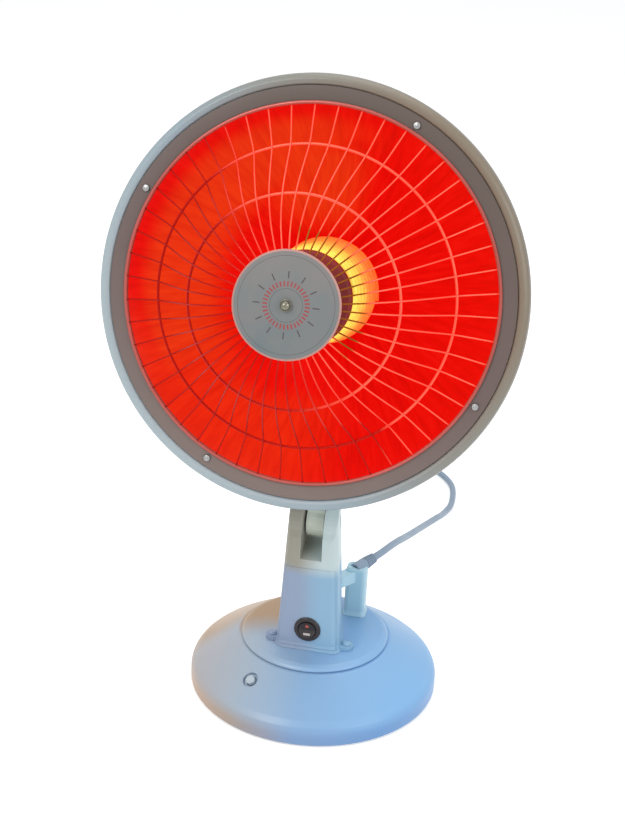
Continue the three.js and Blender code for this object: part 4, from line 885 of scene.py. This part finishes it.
def add_winding():
    steps = 36
    count = COIL_TURNS * steps
    low, high = CORE_BACK + 6, CORE_FRONT - 5
    points = []
    for k in range(count + 1):
        turn = 2 * math.pi * k / steps
        height = low + (high - low) * k / count
        radius = core_radius(height) + SEAT + 0.3 + COIL_WIRE
        points.append(Vector((radius * math.cos(turn), radius * math.sin(turn), height)))
    first = points[0] + (points[0] - points[1]).normalized() * 2 * COIL_WIRE
    last = points[-1] + (points[-1] - points[-2]).normalized() * 2 * COIL_WIRE
    corners, faces = tube_mesh([[first, *points, last]], COIL_WIRE, 12)
    return add_mesh("hot_winding", corners, faces, HEAD)


finish(add_winding(), hot_wire, "head", ["heating_coil"])

# ---------------------------------------------------------------- base

BASE_RADIUS = 118
BASE_TOP = 48.5
TURNTABLE_LOW = 49.3
TURNTABLE_TOP = 54.5
TURNTABLE_RADIUS = 70
PIVOT_HOLE = 9.4
BASE_WALL = 2.6
SKIRT_BOTTOM = 2
SKIRT_TOP = 15
DOME_FLAT_RADIUS = 73
BASE_HUB_RADIUS = 15
BASE_HUB_LOW = 39.7
BUTTON_AZIMUTH = math.radians(-119.3)
BUTTON_LEAN = math.radians(33)
BUTTON_PLACE = (90, 0, 37.8)
BUTTON_HOLE = 4.8
RECESS_RADIUS = 7.5
RECESS_DEPTH = 3.4
CUT_REACH = 12  # how far the cutting shapes stand out of the base


def cut_away(piece, cutters):
    """Cuts shapes out of a piece for good."""
    for cutter in cutters:
        made = piece.modifiers.new("cut", "BOOLEAN")
        made.operation = "DIFFERENCE"
        made.object = cutter
        made.solver = "EXACT"
    evaluated = piece.evaluated_get(bpy.context.evaluated_depsgraph_get())
    mesh = bpy.data.meshes.new_from_object(evaluated)
    piece.modifiers.clear()
    piece.data = mesh
    for cutter in cutters:
        bpy.data.objects.remove(cutter)
    mesh.set_sharp_from_angle(angle=math.radians(35))


def add_base():
    """The hollow foot with a recess for the swing button, and the recess's floor."""
    inner = BASE_RADIUS - BASE_WALL
    ceiling = BASE_TOP - BASE_WALL
    outline = [
        (inner, SKIRT_BOTTOM),
        (BASE_RADIUS, SKIRT_BOTTOM),
        (BASE_RADIUS, SKIRT_TOP),
        (116, 19.5),
        (111, 24),
        (94, 35),
        (DOME_FLAT_RADIUS, BASE_TOP),
        (PIVOT_HOLE, BASE_TOP),
        (PIVOT_HOLE, BASE_HUB_LOW),
        (BASE_HUB_RADIUS, BASE_HUB_LOW),
        (BASE_HUB_RADIUS, ceiling),
        (DOME_FLAT_RADIUS, ceiling),
        (93, 32),
        (109.4, 21),
        (inner, SKIRT_TOP),
    ]
    shell = lathe("base_shell", outline, BASE, 160, 6.0)
    spot = Matrix.Translation(BUTTON_PLACE) @ Matrix.Rotation(BUTTON_LEAN, 4, "Y")
    spot = BASE @ Matrix.Rotation(BUTTON_AZIMUTH, 4, "Z") @ spot
    floor_high, floor_low, floor_radius = -RECESS_DEPTH, -RECESS_DEPTH - 2.4, RECESS_RADIUS + 2
    recess_outline = [(0, floor_high), (RECESS_RADIUS, floor_high), (RECESS_RADIUS, CUT_REACH), (0, CUT_REACH)]
    hole_outline = [(0, -14), (BUTTON_HOLE, -14), (BUTTON_HOLE, CUT_REACH), (0, CUT_REACH)]
    cup_outline = [
        (BUTTON_HOLE, floor_low), (floor_radius, floor_low), (floor_radius, floor_high), (BUTTON_HOLE, floor_high),
    ]
    recess = lathe("recess", recess_outline, spot, 48, 0.01, closed=False)
    hole = lathe("hole", hole_outline, spot, 40, 0.01, closed=False)
    cup = lathe("recess_floor", cup_outline, spot, 48, 0.2)
    cut_away(shell, [recess, hole])
    return shell, cup


base_shell, recess_floor = add_base()
finish(base_shell, base_plastic, "base", ["base_housing"])
finish(recess_floor, base_plastic, "base")


def add_turntable():
    low, top = TURNTABLE_LOW, TURNTABLE_TOP
    outline = [
        (9.3, low), (TURNTABLE_RADIUS, low), (TURNTABLE_RADIUS, low + 1.8), (TURNTABLE_RADIUS - 2, top - 1.3),
        (TURNTABLE_RADIUS - 6, top), (9.3, top),
    ]
    return lathe("turntable_disc", outline, BASE, 128, 4.0)


finish(add_turntable(), base_plastic, "swing", ["turntable"])

# ---------------------------------------------------------------- marks on the rocker

ROCKER_FRONT = -41.8
ROCKER_HEIGHT = 77
ROCKER_SLOPE = math.radians(9)


def add_mark(name, width, height, middle, steps):
    """A thin raised mark on one half of the rocker, an oval or a bar, middle above the valley."""
    lean = math.copysign(ROCKER_SLOPE, middle)
    spot = Matrix.Translation((0, ROCKER_FRONT, ROCKER_HEIGHT)) @ Matrix.Rotation(math.pi / 2 + lean, 4, "X")
    points = [(width * math.cos(t), middle + height * math.sin(t))
              for t in (2 * math.pi * (k + 0.5) / steps for k in range(steps))]
    corners = [(x, y, -0.2) for x, y in points] + [(x, y, 0.15) for x, y in points]
    faces = [tuple(range(steps))[::-1], tuple(range(steps, 2 * steps))]
    faces += [(k, (k + 1) % steps, steps + (k + 1) % steps, steps + k) for k in range(steps)]
    return add_mesh(name, corners, faces, BASE @ spot, smooth=False)


finish(add_mark("rocker_dot", 1.7, 1.7, 4.2, 24), mark_red, "switch_rocker")
finish(add_mark("rocker_bar", 4.6, 1.5, -4.4, 4), mark_white, "switch_rocker")

# ---------------------------------------------------------------- strain relief

GLAND_RADIUS = 6.1
GLAND_SEATED = 6.5


def add_gland():
    """A tapered sleeve with rings moulded round it."""
    outline = [(CORD_RADIUS + SEAT, -GLAND_SEATED), (GLAND_RADIUS, -GLAND_SEATED), (GLAND_RADIUS, GLAND_SEATED)]
    for k in range(5):
        low = GLAND_SEATED + 0.6 + 2.5 * k
        wide = GLAND_RADIUS - (low - GLAND_SEATED) * 0.096
        outline += [(wide - 0.9, low), (wide - 0.9, low + 0.8), (wide, low + 1), (wide - 0.1, low + 2.3)]
    outline += [(CORD_RADIUS + 1.3, GLAND_REACH), (CORD_RADIUS + SEAT, GLAND_REACH)]
    turn = Vector((0, 0, 1)).rotation_difference(gland_direction).to_matrix().to_4x4()
    return lathe("strain_relief", outline, BASE @ Matrix.Translation(gland_seat) @ turn, 40, 0.25)


finish(add_gland(), cord_plastic, "swing", ["cord_gland"])

# ---------------------------------------------------------------- finishes on the solids

SOLIDS = {
    white_plastic: ["neck_front", "neck_rear", "neck_panel", "neck_screw_1", "neck_screw_2"],
    arm_plastic: ["tilt_arm", "terminal_block"],
    knob_plastic: ["swing_button"],
    pale_paint: ["rear_cap"],
    grey_plastic: ["tip_plunger", "friction_disc_1", "friction_disc_2"],
    black_plastic: ["swing_crank", "swing_switch", "tip_switch", "switch_body", "rocker"],
    cord_plastic: ["plug_body"],
    cast_iron: ["counterweight"],
    rubber: ["foot_1", "foot_2", "foot_3", "foot_4"],
    brass: ["element_cap", "plug_pin_1", "plug_pin_2"],
    socket_white: ["element_socket"],
    steel: [
        "base_plate", "swing_motor", "pivot_tube", "swing_lever", "pivot_washer", "pivot_nut", "tilt_bolt", "tilt_nut",
        "hub_clamp", "thermal_cutout", "base_screw_1", "base_screw_2", "base_screw_3",
        "arm_screw_1", "arm_screw_2", "rim_screw_1", "rim_screw_2", "rim_screw_3", "rim_screw_4",
    ],
}


def soften(node, width):
    """Rounds a solid's sharp edges a little."""
    bevel = node.modifiers.new("edges", "BEVEL")
    bevel.width = width * MM
    bevel.segments = 2
    bevel.limit_method = "ANGLE"
    bevel.angle_limit = math.radians(40)
    bevel.harden_normals = False


for material, names in SOLIDS.items():
    for name in names:
        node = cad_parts[name]
        if not node.data.materials:
            node.data.materials.append(None)
        for k in range(len(node.data.materials)):
            node.data.materials[k] = material.material

for name, width in {"neck_front": 0.7, "neck_rear": 0.7, "neck_panel": 0.5, "tilt_arm": 0.6}.items():
    soften(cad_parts[name], width)

# ---------------------------------------------------------------- floor and light


def add_floor():
    mesh = bpy.data.meshes.new("floor")
    side = 30
    mesh.from_pydata([(-side, -side, 0), (side, -side, 0), (side, side, 0), (-side, side, 0)], [], [(0, 1, 2, 3)])
    floor = add_object("floor", mesh)
    made = Finish("floor", srgb(250, 250, 250), 0.9)
    tone = made.ramp(made.noise(made.place(), 3, 2), [(0.3, srgb(248, 248, 248)), (0.7, srgb(252, 252, 252))])
    made.input("Base Color", tone)
    made.input("Specular IOR Level", 0.1)
    seen = made.node("ShaderNodeLightPath").outputs
    straight = made.math("MAXIMUM", seen["Is Camera Ray"], seen["Is Glossy Ray"])
    straight = made.math("MAXIMUM", straight, seen["Is Transmission Ray"])
    made.input("Emission Color", (1, 1, 1, 1))
    made.input("Emission Strength", made.math("MULTIPLY", straight, 0.45))
    mesh.materials.append(made.material)


def add_lamp(name, place, target, size, power, color):
    lamp = bpy.data.lights.new(name, "AREA")
    lamp.shape = "DISK"
    lamp.size = size
    lamp.energy = power
    lamp.color = color
    holder = add_object(name, lamp)
    holder.location = place
    aim = Vector(target) - Vector(place)
    holder.rotation_euler = aim.to_track_quat("-Z", "Y").to_euler()


def add_world():
    world = bpy.data.worlds.new("studio")
    bpy.context.scene.world = world
    world.use_nodes = True
    tree = world.node_tree
    tree.nodes.clear()
    path = tree.nodes.new("ShaderNodeLightPath")
    light = tree.nodes.new("ShaderNodeBackground")
    light.inputs["Color"].default_value = (0.95, 0.97, 1.0, 1)
    light.inputs["Strength"].default_value = 0.54
    backdrop = tree.nodes.new("ShaderNodeBackground")
    backdrop.inputs["Color"].default_value = (1, 1, 1, 1)
    mix = tree.nodes.new("ShaderNodeMixShader")
    out = tree.nodes.new("ShaderNodeOutputWorld")
    seen = path.outputs["Is Camera Ray"]
    for ray in ("Is Glossy Ray", "Is Transmission Ray"):
        either = tree.nodes.new("ShaderNodeMath")
        either.operation = "MAXIMUM"
        tree.links.new(seen, either.inputs[0])
        tree.links.new(path.outputs[ray], either.inputs[1])
        seen = either.outputs["Value"]
    tree.links.new(seen, mix.inputs["Fac"])
    tree.links.new(light.outputs["Background"], mix.inputs[1])
    tree.links.new(backdrop.outputs["Background"], mix.inputs[2])
    tree.links.new(mix.outputs["Shader"], out.inputs["Surface"])


add_floor()
add_world()
add_lamp("key", (-0.9, -1.5, 1.9), (0, 0, 0.3), 1.2, 18, (1.0, 0.98, 0.96))
add_lamp("fill", (1.8, -1.0, 1.3), (0, 0, 0.2), 1.4, 13.5, (0.96, 0.98, 1.0))
add_lamp("top", (0.1, 0.6, 2.4), (0, 0, 0.2), 1.6, 12.6, (1, 1, 1))

bpy.context.scene.view_settings.view_transform = "Standard"
